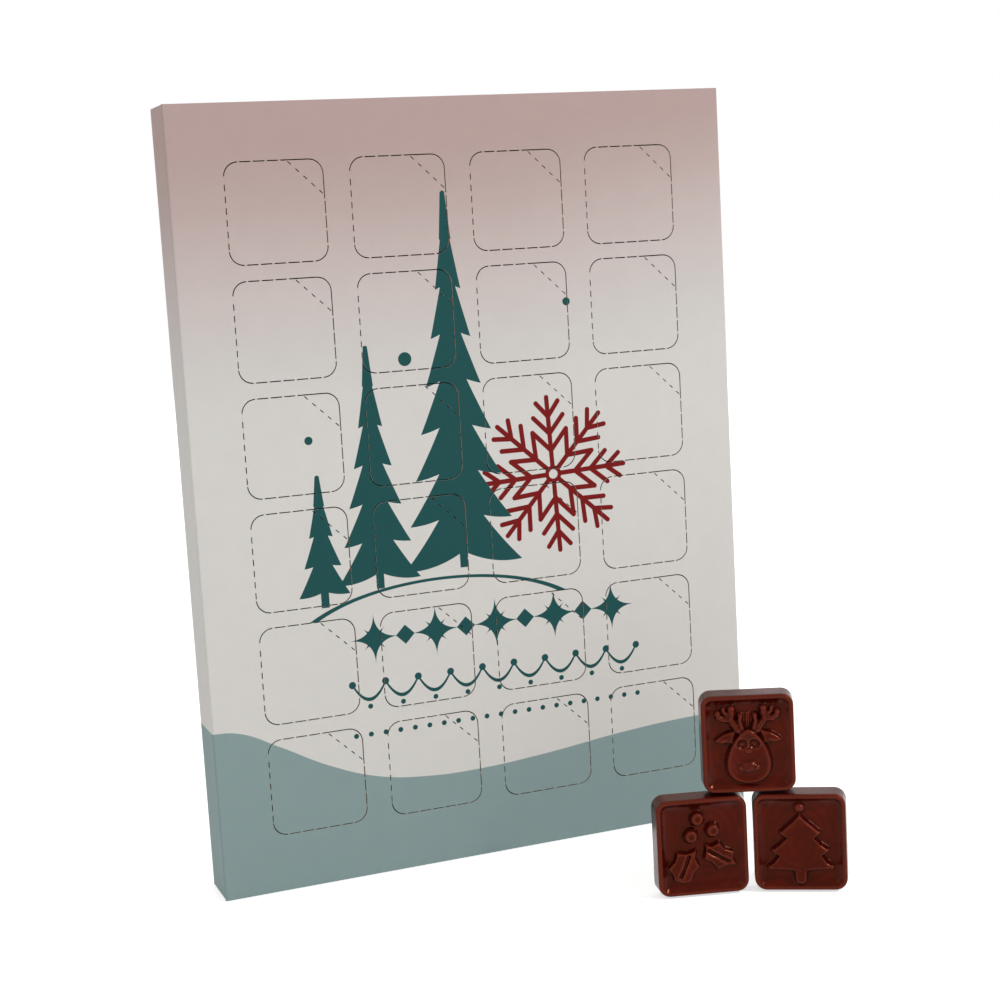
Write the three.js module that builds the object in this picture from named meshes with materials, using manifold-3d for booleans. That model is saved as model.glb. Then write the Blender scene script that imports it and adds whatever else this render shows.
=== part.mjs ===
// Chocolate advent calendar: a glued carton with perforated doors over a formed tray of moulded
// chocolates, and three chocolates of the same set standing in front of it.
// Millimetres, +Z up. The origin is the middle of the carton's bottom face, and the doors face -Y.
import * as THREE from "three";
import { mergeVertices } from "three/addons/utils/BufferGeometryUtils.js";
import Module from "manifold-3d";

const wasm = await Module();
wasm.setup();

// Carton
const cartonWidth = 210;
const cartonHeight = 280;
const cartonDepth = 20;
const boardThickness = 0.5;
const foldGap = 0.1;
const dustFlapLength = 30;
const tuckLipLength = 12;
const glueFlapWidth = 16;
const glueFlapSlant = 8;

// Doors: the grid fills the front panel between its margins, and each door fills its window but for
// the cut round it
const columns = 4;
const rows = 6;
const leftMargin = 19.25;
const rightMargin = 20.45;
const topMargin = 19.9;
const bottomMargin = 20.5;
const barBetweenColumns = 9.3;
const barBetweenRows = 5.2;
const doorCornerRadius = 4.8;
const cutWidth = 0.4;

// Chocolates: each passes through its window with the given play on each side
const sidePlay = 1.5;
const endPlay = 0.2;
const chocolateThickness = 8;
const chocolateCornerRadius = 4.2;
const chocolateDraft = 0.5;
const rimWidth = 2.2;
const rimDepth = 1.8;
const rimSlope = 1.2;

// Tray
const trayWall = 0.5;
const trayCornerRadius = 4;
const pocketClearance = 0.4;
const pocketDraft = 0.5;

// Gap between pieces that only rest on each other
const clearance = 0.3;

// Overrun of a cutting shape past the face that it opens
const overrun = 1;

// Chocolates that stand in front of the carton: the meeting point of the lower two on the floor,
// and how far each is turned about the vertical
const displayMeetingX = 61.5;
const displayMeetingOut = 95;
const displaySpacing = 1;
const hollyTurnDegrees = -16;
const treeTurnDegrees = -30;
const reindeerTurnDegrees = -24;
const reindeerShiftForward = 1;

// Motifs, in shares of the chocolate's shorter side, from the middle of its face. x is to the right,
// y is up
const treeHalfOutlineShares = [
  [0, 0.33],
  [0.07, 0.23],
  [0.205, 0.11],
  [0.16, 0.05],
  [0.3, -0.08],
  [0.225, -0.14],
  [0.335, -0.28],
  [0.06, -0.305],
  [0.055, -0.43],
  [0, -0.43],
];
const treeTopShares = [0, 0.395, 0.06];
const berryShares = [
  [-0.05, 0.313],
  [0.113, 0.172],
  [-0.123, 0.133],
];
const berryRadiusShare = 0.082;
const leafOutlineShares = [
  [-0.195, 0.01],
  [-0.105, 0.07],
  [-0.055, 0.135],
  [0.02, 0.085],
  [0.135, 0.12],
  [0.22, 0.03],
  [0.195, -0.1],
  [0.1, -0.08],
  [0.05, -0.138],
  [-0.02, -0.085],
  [-0.08, -0.12],
  [-0.165, -0.06],
];
const leafPlaces = [
  { shares: [0.19, -0.123], turnDegrees: -30 },
  { shares: [-0.225, -0.221], turnDegrees: -104 },
];
const headHeightShares = [0.175, -0.435];
const headWidthShares = [0.15, 0.31];
const muzzleShares = [0, -0.25, 0.13, 0.08];
const eyeShares = [0.058, -0.02, 0.045];
const tuftShares = [0, 0.27, 0.09, 0.1];
const earHalfShares = [
  [0.15, 0.08],
  [0.17, 0.155],
  [0.275, 0.15],
  [0.385, 0.03],
  [0.25, 0.04],
];
const antlerHalfShares = [
  [0.08, 0.19],
  [0.16, 0.288],
  [0.16, 0.42],
  [0.233, 0.42],
  [0.233, 0.33],
  [0.285, 0.375],
  [0.34, 0.35],
  [0.325, 0.28],
  [0.233, 0.26],
  [0.15, 0.145],
];
const flatReliefShare = 1.1;
const headReliefShare = 1.15;
const detailReliefShare = 1.45;
const reliefRootShare = 0.5;
const reliefLeanShare = 0.35;

// Round stretches
const cornerSegments = 2;
const smallCornerSegments = 1;
const ellipseSegments = 3;
const headSides = 10;

// Colours and finishes
const printedBoard = { color: 0xd3d0cb, roughness: 0.6, metalness: 0 };
const plainBoard = { color: 0xcbc6bb, roughness: 0.8, metalness: 0 };
const formedTray = { color: 0x8a5a33, roughness: 0.35, metalness: 0 };
const chocolate = { color: 0x4f1a12, roughness: 0.4, metalness: 0 };

// Sizes that follow from the ones above. "Out" is the distance from the carton's middle plane
// towards the viewer.
const frontOut = cartonDepth / 2;
const innerFrontOut = frontOut - boardThickness;
const barsAcross = (columns - 1) * barBetweenColumns;
const barsDown = (rows - 1) * barBetweenRows;
const windowWidth = (cartonWidth - leftMargin - rightMargin - barsAcross) / columns;
const windowHeight = (cartonHeight - topMargin - bottomMargin - barsDown) / rows;
const windowCornerRadius = doorCornerRadius + cutWidth;
const doorWidth = windowWidth - 2 * cutWidth;
const doorHeight = windowHeight - 2 * cutWidth;
const chocolateWidth = windowWidth - 2 * sidePlay;
const chocolateHeight = windowHeight - 2 * endPlay;
const motifSize = Math.min(chocolateWidth, chocolateHeight);
const wallHalfDepth = innerFrontOut - foldGap;
const lipBackOut = -wallHalfDepth;
const lipFrontOut = lipBackOut + boardThickness;
const dustFlapUp = 2 * boardThickness + foldGap;
const trayWidth = cartonWidth - 2 * (boardThickness + clearance);
const trayBottomUp = dustFlapUp + clearance;
const trayHeight = cartonHeight - 2 * trayBottomUp;
const trayFrontOut = innerFrontOut - clearance;
const flangeMiddleOut = trayFrontOut - trayWall / 2;
const trayBackOut = lipFrontOut + clearance;
const reliefAboveRim = (detailReliefShare - 1) * rimDepth;
const chocolateFrontOut = trayFrontOut - clearance - reliefAboveRim;
const chocolateBackOut = chocolateFrontOut - chocolateThickness;
const pocketFloorOut = chocolateBackOut - clearance;
const pocketWidth = chocolateWidth + 2 * (pocketClearance + pocketDraft);
const pocketHeight = chocolateHeight + 2 * (pocketClearance + pocketDraft);
const pocketCornerRadius = chocolateCornerRadius + pocketClearance;

// A rectangle with round corners
function roundedRectangle(width, height, radius, middleX = 0, middleY = 0) {
  const right = middleX + width / 2 - radius;
  const left = middleX - width / 2 + radius;
  const top = middleY + height / 2 - radius;
  const bottom = middleY - height / 2 + radius;
  const quarter = Math.PI / 2;
  const outline = new THREE.Shape();
  outline.absarc(right, top, radius, 0, quarter);
  outline.absarc(left, top, radius, quarter, 2 * quarter);
  outline.absarc(left, bottom, radius, 2 * quarter, 3 * quarter);
  outline.absarc(right, bottom, radius, 3 * quarter, 4 * quarter);
  outline.closePath();
  return outline;
}

// A closed outline through corner points
function polygon(points) {
  return new THREE.Shape(points.map(([x, y]) => new THREE.Vector2(x, y)));
}

// An outline given in shares of the motif's size, moved and turned to its place
function shareOutline(shares, placeShares = [0, 0], turnDegrees = 0) {
  const turn = THREE.MathUtils.degToRad(turnDegrees);
  const middle = new THREE.Vector2(0, 0);
  const place = new THREE.Vector2(...placeShares);
  const points = shares.map(([x, y]) =>
    new THREE.Vector2(x, y).rotateAround(middle, turn).add(place).multiplyScalar(motifSize),
  );
  return new THREE.Shape(points);
}

// A plate of the given outline, standing from z = 0 to its thickness
function plate(outline, thickness, segments = cornerSegments) {
  return new THREE.ExtrudeGeometry(outline, {
    depth: thickness,
    bevelEnabled: false,
    curveSegments: segments,
  });
}

// Draws a block in towards its middle, by nothing at its lowest z and by the inset at its highest
function drawIn(geometry, inset) {
  geometry.computeBoundingBox();
  const { min, max } = geometry.boundingBox;
  const middle = min.clone().add(max).divideScalar(2);
  const size = max.clone().sub(min);
  const position = geometry.getAttribute("position");
  for (let i = 0; i < position.count; i += 1) {
    const drawn = (2 * inset * (position.getZ(i) - min.z)) / size.z;
    const x = position.getX(i) - middle.x;
    const y = position.getY(i) - middle.y;
    position.setX(i, middle.x + x * (1 - drawn / size.x));
    position.setY(i, middle.y + y * (1 - drawn / size.y));
  }
  return geometry;
}

// A three.js geometry as a solid that can be joined and cut
function solid(geometry) {
  const bare = geometry.clone();
  bare.deleteAttribute("normal");
  bare.deleteAttribute("uv");
  const merged = mergeVertices(bare);
  return new wasm.Manifold(
    new wasm.Mesh({
      numProp: 3,
      vertProperties: merged.getAttribute("position").array,
      triVerts: new Uint32Array(merged.getIndex().array),
    }),
  );
}

// A solid as a three.js geometry
function geometryOf(body) {
  const mesh = body.getMesh();
  const geometry = new THREE.BufferGeometry();
  geometry.setAttribute("position", new THREE.BufferAttribute(mesh.vertProperties, 3));
  geometry.setIndex(new THREE.BufferAttribute(mesh.triVerts, 1));
  geometry.computeVertexNormals();
  return geometry;
}

// A named piece at its place in the calendar
function piece(name, geometry, finish, x = 0, up = 0, out = 0) {
  const mesh = new THREE.Mesh(geometry, new THREE.MeshStandardMaterial(finish));
  mesh.name = name;
  mesh.position.set(x, up, out);
  return mesh;
}

// The middle of each window, row by row from the top left
const windows = [];
for (let row = 0; row < rows; row += 1) {
  for (let column = 0; column < columns; column += 1) {
    const fromLeft = leftMargin + windowWidth / 2 + column * (windowWidth + barBetweenColumns);
    const fromTop = topMargin + windowHeight / 2 + row * (windowHeight + barBetweenRows);
    windows.push({
      x: fromLeft - cartonWidth / 2,
      up: cartonHeight - fromTop,
      number: String(windows.length + 1).padStart(2, "0"),
    });
  }
}

// Carton panels

// The outline of the front or back panel
function panelOutline() {
  const side = cartonWidth / 2;
  return polygon([
    [-side, 0],
    [side, 0],
    [side, cartonHeight],
    [-side, cartonHeight],
  ]);
}

function frontPanel() {
  const outline = panelOutline();
  for (const { x, up } of windows) {
    outline.holes.push(roundedRectangle(windowWidth, windowHeight, windowCornerRadius, x, up));
  }
  return piece("front_panel", plate(outline, boardThickness), printedBoard, 0, 0, innerFrontOut);
}

function backPanel() {
  return piece("back_panel", plate(panelOutline(), boardThickness), printedBoard, 0, 0, -frontOut);
}

// A side wall with the dust flaps folded in at its top and bottom ends, for the side given by
// -1, left, or 1, right
function sideWall(name, side) {
  const outer = (side * cartonWidth) / 2;
  const inner = outer - side * boardThickness;
  const flapEnd = outer - side * dustFlapLength;
  const bottom = boardThickness + foldGap;
  const top = cartonHeight - bottom;
  const outline = polygon([
    [outer, bottom],
    [outer, top],
    [flapEnd, top],
    [flapEnd, top - boardThickness],
    [inner, top - boardThickness],
    [inner, bottom + boardThickness],
    [flapEnd, bottom + boardThickness],
    [flapEnd, bottom],
  ]);
  const depth = wallHalfDepth - lipFrontOut - foldGap;
  return piece(name, plate(outline, depth), printedBoard, 0, 0, lipFrontOut + foldGap);
}

// An end flap that closes the carton, with its lip tucked in behind the back panel. The direction
// is 1 for the top end, and -1 for the bottom end
function endFlap(name, direction) {
  const outer = direction > 0 ? cartonHeight : 0;
  const inner = outer - direction * boardThickness;
  const lipEnd = inner - direction * tuckLipLength;
  const outline = polygon([
    [wallHalfDepth, outer],
    [lipBackOut, outer],
    [lipBackOut, lipEnd],
    [lipFrontOut, lipEnd],
    [lipFrontOut, inner],
    [wallHalfDepth, inner],
  ]);
  const length = cartonWidth - 2 * (boardThickness + foldGap);
  const geometry = plate(outline, length);
  geometry.rotateY(-Math.PI / 2);
  return piece(name, geometry, printedBoard, length / 2);
}

function glueFlap() {
  const foldX = cartonWidth / 2 - boardThickness;
  const edgeX = foldX - glueFlapWidth;
  const bottom = boardThickness + tuckLipLength + foldGap;
  const top = cartonHeight - bottom;
  const outline = polygon([
    [foldX, bottom],
    [foldX, top],
    [edgeX, top - glueFlapSlant],
    [edgeX, bottom + glueFlapSlant],
  ]);
  return piece("glue_flap", plate(outline, boardThickness), plainBoard, 0, 0, lipBackOut);
}

// Tray

// A pocket's hollow, or its outside where it is grown by the tray's wall. It narrows to the back
function pocketBlock({ x, up }, growth, frontEnd, backEnd) {
  const slope = pocketDraft / (trayFrontOut - pocketFloorOut);
  const wider = 2 * (growth + slope * (frontEnd - trayFrontOut));
  const outline = roundedRectangle(
    pocketWidth + wider,
    pocketHeight + wider,
    pocketCornerRadius + growth,
  );
  const block = plate(outline, frontEnd - backEnd, smallCornerSegments);
  drawIn(block, slope * (frontEnd - backEnd));
  block.rotateY(Math.PI);
  block.translate(x, up, frontEnd);
  return solid(block);
}

function chocolateTray() {
  const middleUp = cartonHeight / 2;
  const depth = trayFrontOut - trayBackOut;
  const outside = roundedRectangle(trayWidth, trayHeight, trayCornerRadius, 0, middleUp);
  const inside = roundedRectangle(
    trayWidth - 2 * trayWall,
    trayHeight - 2 * trayWall,
    trayCornerRadius - trayWall,
    0,
    middleUp,
  );
  const shell = plate(outside, depth);
  shell.translate(0, 0, trayBackOut);
  const hollow = plate(inside, depth - trayWall + overrun);
  hollow.translate(0, 0, trayBackOut - overrun);
  let tray = solid(shell).subtract(solid(hollow));
  for (const window of windows) {
    tray = tray.add(pocketBlock(window, trayWall, flangeMiddleOut, pocketFloorOut - trayWall));
  }
  for (const window of windows) {
    tray = tray.subtract(pocketBlock(window, 0, trayFrontOut + overrun, pocketFloorOut));
  }
  return piece("chocolate_tray", geometryOf(tray), formedTray);
}

// Doors

// A door stands on its hinge line, which is the perforated edge at its left
function doorLeaf() {
  return plate(
    roundedRectangle(doorWidth, doorHeight, doorCornerRadius, (doorWidth + cutWidth) / 2, 0),
    boardThickness,
  );
}

function doors() {
  const geometry = doorLeaf();
  return windows.map(({ x, up, number }) => {
    const hingeX = x - (doorWidth + cutWidth) / 2;
    return piece("door_" + number, geometry, printedBoard, hingeX, up, innerFrontOut);
  });
}

// Chocolates

const recessFloor = chocolateThickness - rimDepth;

// A raised figure on the recessed floor, rooted in it, with sides that lean in towards its top
function relief(outline, heightShare) {
  const height = heightShare * rimDepth;
  const root = reliefRootShare * rimDepth;
  const geometry = plate(outline, root + height, ellipseSegments);
  drawIn(geometry, reliefLeanShare * height);
  geometry.translate(0, 0, recessFloor - root);
  return solid(geometry);
}

// An ellipse on the chocolate's face, in shares of the motif's size
function ellipse(xShare, yShare, radiusXShare, radiusYShare) {
  const outline = new THREE.Shape();
  outline.absellipse(
    xShare * motifSize,
    yShare * motifSize,
    radiusXShare * motifSize,
    radiusYShare * motifSize,
    0,
    2 * Math.PI,
  );
  return outline;
}

function mirrored(shares) {
  return shares.map(([x, y]) => [-x, y]).reverse();
}

function treeMotif() {
  const left = mirrored(treeHalfOutlineShares).slice(1, -1);
  const [topX, topY, topRadius] = treeTopShares;
  return [
    relief(shareOutline([...treeHalfOutlineShares, ...left]), flatReliefShare),
    relief(ellipse(topX, topY, topRadius, topRadius), flatReliefShare),
  ];
}

function hollyMotif() {
  const berries = berryShares.map(([x, y]) =>
    relief(ellipse(x, y, berryRadiusShare, berryRadiusShare), headReliefShare),
  );
  const leaves = leafPlaces.map(({ shares, turnDegrees }) =>
    relief(shareOutline(leafOutlineShares, shares, turnDegrees), flatReliefShare),
  );
  return [...berries, ...leaves];
}

// The head is an egg with its broad end down
function headOutline() {
  const [top, bottom] = headHeightShares;
  const [topHalfWidth, bottomHalfWidth] = headWidthShares;
  const points = [];
  for (let i = 0; i < headSides; i += 1) {
    const angle = (2 * Math.PI * i) / headSides;
    const low = (1 - Math.sin(angle)) / 2;
    const halfWidth = topHalfWidth + (bottomHalfWidth - topHalfWidth) * low;
    points.push([halfWidth * Math.cos(angle), bottom + (top - bottom) * (1 - low)]);
  }
  return shareOutline(points);
}

function reindeerMotif() {
  const [eyeX, eyeY, eyeRadius] = eyeShares;
  const sides = [1, -1].flatMap((side) => {
    const turned = (shares) => (side > 0 ? shares : mirrored(shares));
    return [
      relief(shareOutline(turned(earHalfShares)), flatReliefShare),
      relief(shareOutline(turned(antlerHalfShares)), flatReliefShare),
      relief(ellipse(side * eyeX, eyeY, eyeRadius, eyeRadius), detailReliefShare),
    ];
  });
  return [
    ...sides,
    relief(headOutline(), headReliefShare),
    relief(ellipse(...muzzleShares), detailReliefShare),
    relief(ellipse(...tuftShares), flatReliefShare),
  ];
}

// A chocolate with a rim round a recessed floor, on which its motif stands out. Its back lies on
// z = 0, and its sides lean in towards the motif, as a mould's do
function chocolateBody(motif) {
  const outer = roundedRectangle(chocolateWidth, chocolateHeight, chocolateCornerRadius);
  const block = plate(outer, chocolateThickness, smallCornerSegments);
  drawIn(block, chocolateDraft);
  const recessWidth = chocolateWidth - 2 * rimWidth;
  const recessHeight = chocolateHeight - 2 * rimWidth;
  const recessRadius = chocolateCornerRadius - rimWidth / 2;
  const recessOutline = roundedRectangle(recessWidth, recessHeight, recessRadius);
  const recess = plate(recessOutline, rimDepth, smallCornerSegments);
  drawIn(recess, rimSlope);
  recess.rotateY(Math.PI);
  recess.translate(0, 0, chocolateThickness);
  let body = solid(block).subtract(solid(recess));
  for (const raised of motif()) {
    body = body.add(raised);
  }
  return geometryOf(body);
}

const motifs = {
  reindeer: chocolateBody(reindeerMotif),
  holly: chocolateBody(hollyMotif),
  tree: chocolateBody(treeMotif),
};

function trayChocolates() {
  const kinds = Object.keys(motifs);
  return windows.map(({ x, up, number }, index) => {
    const row = Math.floor(index / columns);
    const geometry = motifs[kinds[(index + row) % kinds.length]];
    return piece("chocolate_" + number, geometry, chocolate, x, up, chocolateBackOut);
  });
}

// A loose chocolate standing on its lower edge. Its group is turned about the vertical through the
// point of its front face's lower edge that lies at the given distance right of its middle
function looseChocolate(kind, turnDegrees, pivot, x, up, out) {
  const standing = new THREE.Group();
  standing.position.set(x, up, out);
  standing.rotation.y = THREE.MathUtils.degToRad(turnDegrees);
  const mesh = piece("loose_chocolate_" + kind, motifs[kind], chocolate, -pivot);
  mesh.position.y = chocolateHeight / 2;
  mesh.position.z = -chocolateThickness;
  standing.add(mesh);
  return standing;
}

// The lower two meet at one point, and the third stands on their upper edges
function looseChocolates() {
  const reach = chocolateWidth / 2;
  const gap = displaySpacing / 2;
  return [
    looseChocolate("holly", hollyTurnDegrees, reach + gap, displayMeetingX, 0, displayMeetingOut),
    looseChocolate("tree", treeTurnDegrees, -reach - gap, displayMeetingX, 0, displayMeetingOut),
    looseChocolate(
      "reindeer",
      reindeerTurnDegrees,
      0,
      displayMeetingX,
      chocolateHeight + clearance,
      displayMeetingOut + reindeerShiftForward,
    ),
  ];
}

// Assembly: x stays, up becomes +Z, and out becomes -Y
const calendar = new THREE.Group();
calendar.name = "advent_calendar";
calendar.rotation.x = Math.PI / 2;
calendar.add(
  frontPanel(),
  backPanel(),
  sideWall("left_side_wall", -1),
  sideWall("right_side_wall", 1),
  endFlap("top_end_flap", 1),
  endFlap("bottom_end_flap", -1),
  glueFlap(),
  chocolateTray(),
  ...doors(),
  ...trayChocolates(),
  ...looseChocolates(),
);

export default calendar;
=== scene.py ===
"""Chocolate advent calendar: a printed carton with 24 doors over a formed tray of moulded
chocolates, and three chocolates of the same set standing in front of it.

Every piece is modelled in bench coordinates, in millimetres: x to the right, y up, and z
out towards the viewer, with the middle of the carton's bottom face as the origin.
`Bench.TO_FRAME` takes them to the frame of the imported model.
"""

from __future__ import annotations

import logging
import math
from dataclasses import dataclass, field, replace
from enum import Enum
from functools import reduce
from itertools import product
from typing import ClassVar, Iterable, Sequence

import bmesh
import bpy
import numpy as np
from mathutils import Matrix, Vector

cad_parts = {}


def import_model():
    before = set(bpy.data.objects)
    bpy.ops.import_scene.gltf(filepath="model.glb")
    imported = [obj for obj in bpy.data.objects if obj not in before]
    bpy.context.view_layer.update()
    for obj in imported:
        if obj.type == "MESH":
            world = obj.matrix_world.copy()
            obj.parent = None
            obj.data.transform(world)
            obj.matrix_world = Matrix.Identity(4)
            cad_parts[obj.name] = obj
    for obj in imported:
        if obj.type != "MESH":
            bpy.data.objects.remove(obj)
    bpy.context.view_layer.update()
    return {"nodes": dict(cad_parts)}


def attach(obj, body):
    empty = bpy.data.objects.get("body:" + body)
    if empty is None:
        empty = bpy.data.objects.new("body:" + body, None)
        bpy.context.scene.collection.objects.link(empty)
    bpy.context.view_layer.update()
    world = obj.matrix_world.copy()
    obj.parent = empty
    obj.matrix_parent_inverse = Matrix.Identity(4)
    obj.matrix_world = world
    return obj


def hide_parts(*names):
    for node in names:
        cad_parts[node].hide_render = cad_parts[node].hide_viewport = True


log = logging.getLogger("advent_calendar")

Point2 = tuple[float, float]
Point3 = tuple[float, float, float]
Points = tuple[Point2, ...]
Colour = tuple[float, float, float, float]

ROOT_BODY = "carton"
UP_AXIS = "Y"


# Helpers for meshes


class Side(Enum):
    """A side of the carton or of a figure, with its direction along x."""

    LEFT = -1
    RIGHT = 1


class Joining(Enum):
    """What a tool shape does to a piece."""

    UNION = "UNION"
    DIFFERENCE = "DIFFERENCE"


class Bench:
    """The bench on which the pieces are made, in millimetres."""

    MM = 0.001
    TO_FRAME = Matrix.Scale(MM, 4) @ Matrix.Rotation(math.pi / 2, 4, "X")

    @staticmethod
    def new(name: str, mesh: bpy.types.Mesh) -> bpy.types.Object:
        """Links a new object.

        Args:
            name: the object's name.
            mesh: the mesh that it shows.

        Returns:
            The object.
        """
        piece = bpy.data.objects.new(name, mesh)
        bpy.context.scene.collection.objects.link(piece)
        return piece

    @staticmethod
    def from_bmesh(
        name: str, bm: bmesh.types.BMesh, materials: Sequence[bpy.types.Material] = ()
    ) -> bpy.types.Object:
        """Turns a bmesh into an object and frees the bmesh.

        Args:
            name: the object's name.
            bm: the finished shape.
            materials: the materials for its slots.

        Returns:
            The linked object.
        """
        bmesh.ops.recalc_face_normals(bm, faces=bm.faces[:])
        mesh = bpy.data.meshes.new(name)
        bm.to_mesh(mesh)
        bm.free()
        for material in materials:
            mesh.materials.append(material)
        return Bench.new(name, mesh)

    @staticmethod
    def apply(piece: bpy.types.Object) -> bpy.types.Object:
        """Writes an object's modifiers into its mesh.

        Args:
            piece: the object to finish.

        Returns:
            The same object, with no modifiers.
        """
        graph = bpy.context.evaluated_depsgraph_get()
        finished = bpy.data.meshes.new_from_object(piece.evaluated_get(graph))
        piece.modifiers.clear()
        rough = piece.data
        piece.data = finished
        bpy.data.meshes.remove(rough)
        return piece

    @staticmethod
    def combine(
        piece: bpy.types.Object,
        tool: bpy.types.Object,
        joining: Joining = Joining.DIFFERENCE,
    ) -> bpy.types.Object:
        """Joins a tool shape to a piece or cuts it away, and removes the tool.

        Args:
            piece: the piece to shape.
            tool: the shape to join or cut with.
            joining: what the tool does.

        Returns:
            The shaped piece.
        """
        boolean = piece.modifiers.new("combine", "BOOLEAN")
        boolean.operation = joining.value
        boolean.solver = "EXACT"
        boolean.object = tool
        boolean.material_mode = "TRANSFER"
        Bench.apply(piece)
        shape = tool.data
        bpy.data.objects.remove(tool)
        bpy.data.meshes.remove(shape)
        return piece

    @staticmethod
    def round_edges(
        bm: bmesh.types.BMesh,
        edges: Sequence[bmesh.types.BMEdge],
        radius: float,
        segments: int,
        clamped: bool = False,
    ) -> None:
        """Rounds edges of a bmesh.

        Args:
            bm: the bmesh that they belong to.
            edges: the edges.
            radius: how far the rounding reaches.
            segments: number of steps in it.
            clamped: whether it stops where it would meet another.
        """
        bmesh.ops.bevel(
            bm,
            geom=edges,
            offset=radius,
            offset_type="OFFSET",
            affect="EDGES",
            segments=segments,
            profile=0.5,
            material=-1,
            clamp_overlap=clamped,
        )

    @staticmethod
    def ring(
        bm: bmesh.types.BMesh, verts: Sequence[bmesh.types.BMVert]
    ) -> list[bmesh.types.BMEdge]:
        """The edges that join the given vertices."""
        return [edge for edge in bm.edges if all(vert in verts for vert in edge.verts)]

    @staticmethod
    def rise(edge: bmesh.types.BMEdge) -> float:
        """How much higher one end of an edge lies than the other."""
        return abs(edge.verts[0].co.y - edge.verts[1].co.y)

    @staticmethod
    def coordinates(mesh: bpy.types.Mesh) -> np.ndarray:
        """Reads a mesh's points.

        Args:
            mesh: the mesh.

        Returns:
            The points, one row each.
        """
        flat = np.empty(3 * len(mesh.vertices))
        mesh.vertices.foreach_get("co", flat)
        return flat.reshape(-1, 3)

    @staticmethod
    def mark(mesh: bpy.types.Mesh, name: str, values: np.ndarray) -> None:
        """Writes an attribute with a number for each of a mesh's points."""
        layer = mesh.attributes.new(name, "FLOAT", "POINT")
        layer.data.foreach_set("value", values.astype(np.float32))

    @staticmethod
    def box(bm: bmesh.types.BMesh, low: Point3, high: Point3) -> list[bmesh.types.BMVert]:
        """Adds a box to a bmesh.

        Args:
            bm: the bmesh to add to.
            low: the box's lowest corner.
            high: the box's highest corner.

        Returns:
            The box's vertices.
        """
        verts = bmesh.ops.create_cube(bm, size=1.0)["verts"]
        size = [b - a for a, b in zip(low, high)]
        middle = [(a + b) / 2 for a, b in zip(low, high)]
        bmesh.ops.scale(bm, vec=size, verts=verts)
        bmesh.ops.translate(bm, vec=middle, verts=verts)
        return verts

    @staticmethod
    def rounded_plate(
        bm: bmesh.types.BMesh,
        size: Point2,
        radius: float,
        low: float,
        high: float,
        inset: float = 0.0,
        segments: int = 8,
    ) -> tuple[list[bmesh.types.BMVert], list[bmesh.types.BMVert]]:
        """Adds a plate with round corners about the z axis.

        Args:
            bm: the bmesh to add to.
            size: width and height of the plate at its low end.
            radius: the corners' radius.
            low: z of the low end.
            high: z of the high end.
            inset: how far the high end is drawn in on each side.
            segments: segments in each corner.

        Returns:
            The vertices of the low end and those of the high end.
        """
        grid = bmesh.ops.create_grid(bm, x_segments=1, y_segments=1, size=0.5)["verts"]
        bmesh.ops.scale(bm, vec=(*size, 1.0), verts=grid)
        corners = bmesh.ops.bevel(
            bm,
            geom=grid,
            offset=radius,
            offset_type="OFFSET",
            affect="VERTICES",
            segments=segments,
            profile=0.5,
            material=-1,
        )
        base = sorted(
            {face for vert in corners["verts"] for face in vert.link_faces},
            key=lambda face: face.index,
        )
        bottom = list({vert for face in base for vert in face.verts})
        bmesh.ops.translate(bm, vec=(0, 0, low), verts=bottom)
        raised = bmesh.ops.extrude_face_region(bm, geom=base, use_keep_orig=True)["geom"]
        top = [item for item in raised if isinstance(item, bmesh.types.BMVert)]
        bmesh.ops.translate(bm, vec=(0, 0, high - low), verts=top)
        share = [1 - 2 * inset / side for side in size]
        bmesh.ops.scale(bm, vec=(*share, 1.0), verts=top)
        return bottom, top


# Sizes


@dataclass(frozen=True)
class Window:
    """One window of the front panel, with its door's number."""

    number: int
    x: float
    y: float

    @property
    def label(self) -> str:
        """The number with two digits."""
        return f"{self.number:02d}"


@dataclass(frozen=True)
class CartonSizes:
    """The carton's sizes in millimetres, which its pieces share."""

    width: float = 210.0
    height: float = 280.0
    depth: float = 20.0
    board: float = 0.5
    fold_gap: float = 0.1
    fold_radius: float = 0.75
    fold_steps: int = 4
    tuck_lip: float = 12.0
    dust_flap: float = 30.0
    flap_corner: float = 5.0
    flap_corner_steps: int = 6
    columns: int = 4
    rows: int = 6
    first_window: Point2 = (-67.95, 242.3)
    column_pitch: float = 44.9
    row_pitch: float = 40.8
    window: float = 35.6
    window_radius: float = 5.2
    hinge_inset: float = 0.2
    hinge_bridges: Points = (
        (4.9, 7.7), (9.9, 11.7), (13.9, 15.7), (17.9, 19.7), (21.9, 23.7), (25.9, 27.7),
        (29.9, 30.6),
    )
    seam: float = 0.01

    @property
    def front(self) -> float:
        """z of the front face."""
        return self.depth / 2

    @property
    def step(self) -> float:
        """How far a part that folds in lies behind the outside."""
        return self.board + self.fold_gap

    def windows(self) -> list[Window]:
        """The windows, row by row from the top left."""
        left, top = self.first_window
        return [
            Window(
                row * self.columns + column + 1,
                left + column * self.column_pitch,
                top - row * self.row_pitch,
            )
            for row in range(self.rows)
            for column in range(self.columns)
        ]

    def bridge_spans(self) -> list[tuple[float, float]]:
        """The uncut stretches of a hinge, from the window's middle upwards."""
        half = self.window / 2
        return [(half - high, half - low) for low, high in self.hinge_bridges]


# Helpers for materials


def srgb(code: str) -> Colour:
    """The linear colour of a hexadecimal colour code.

    Args:
        code: six hexadecimal digits.

    Returns:
        The colour for a shader socket.
    """

    def linear(value: float) -> float:
        """One channel without the display's curve."""
        return value / 12.92 if value <= 0.04045 else ((value + 0.055) / 1.055) ** 2.4

    red, green, blue = (linear(int(code[i : i + 2], 16) / 255) for i in (0, 2, 4))
    return (red, green, blue, 1.0)


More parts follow.
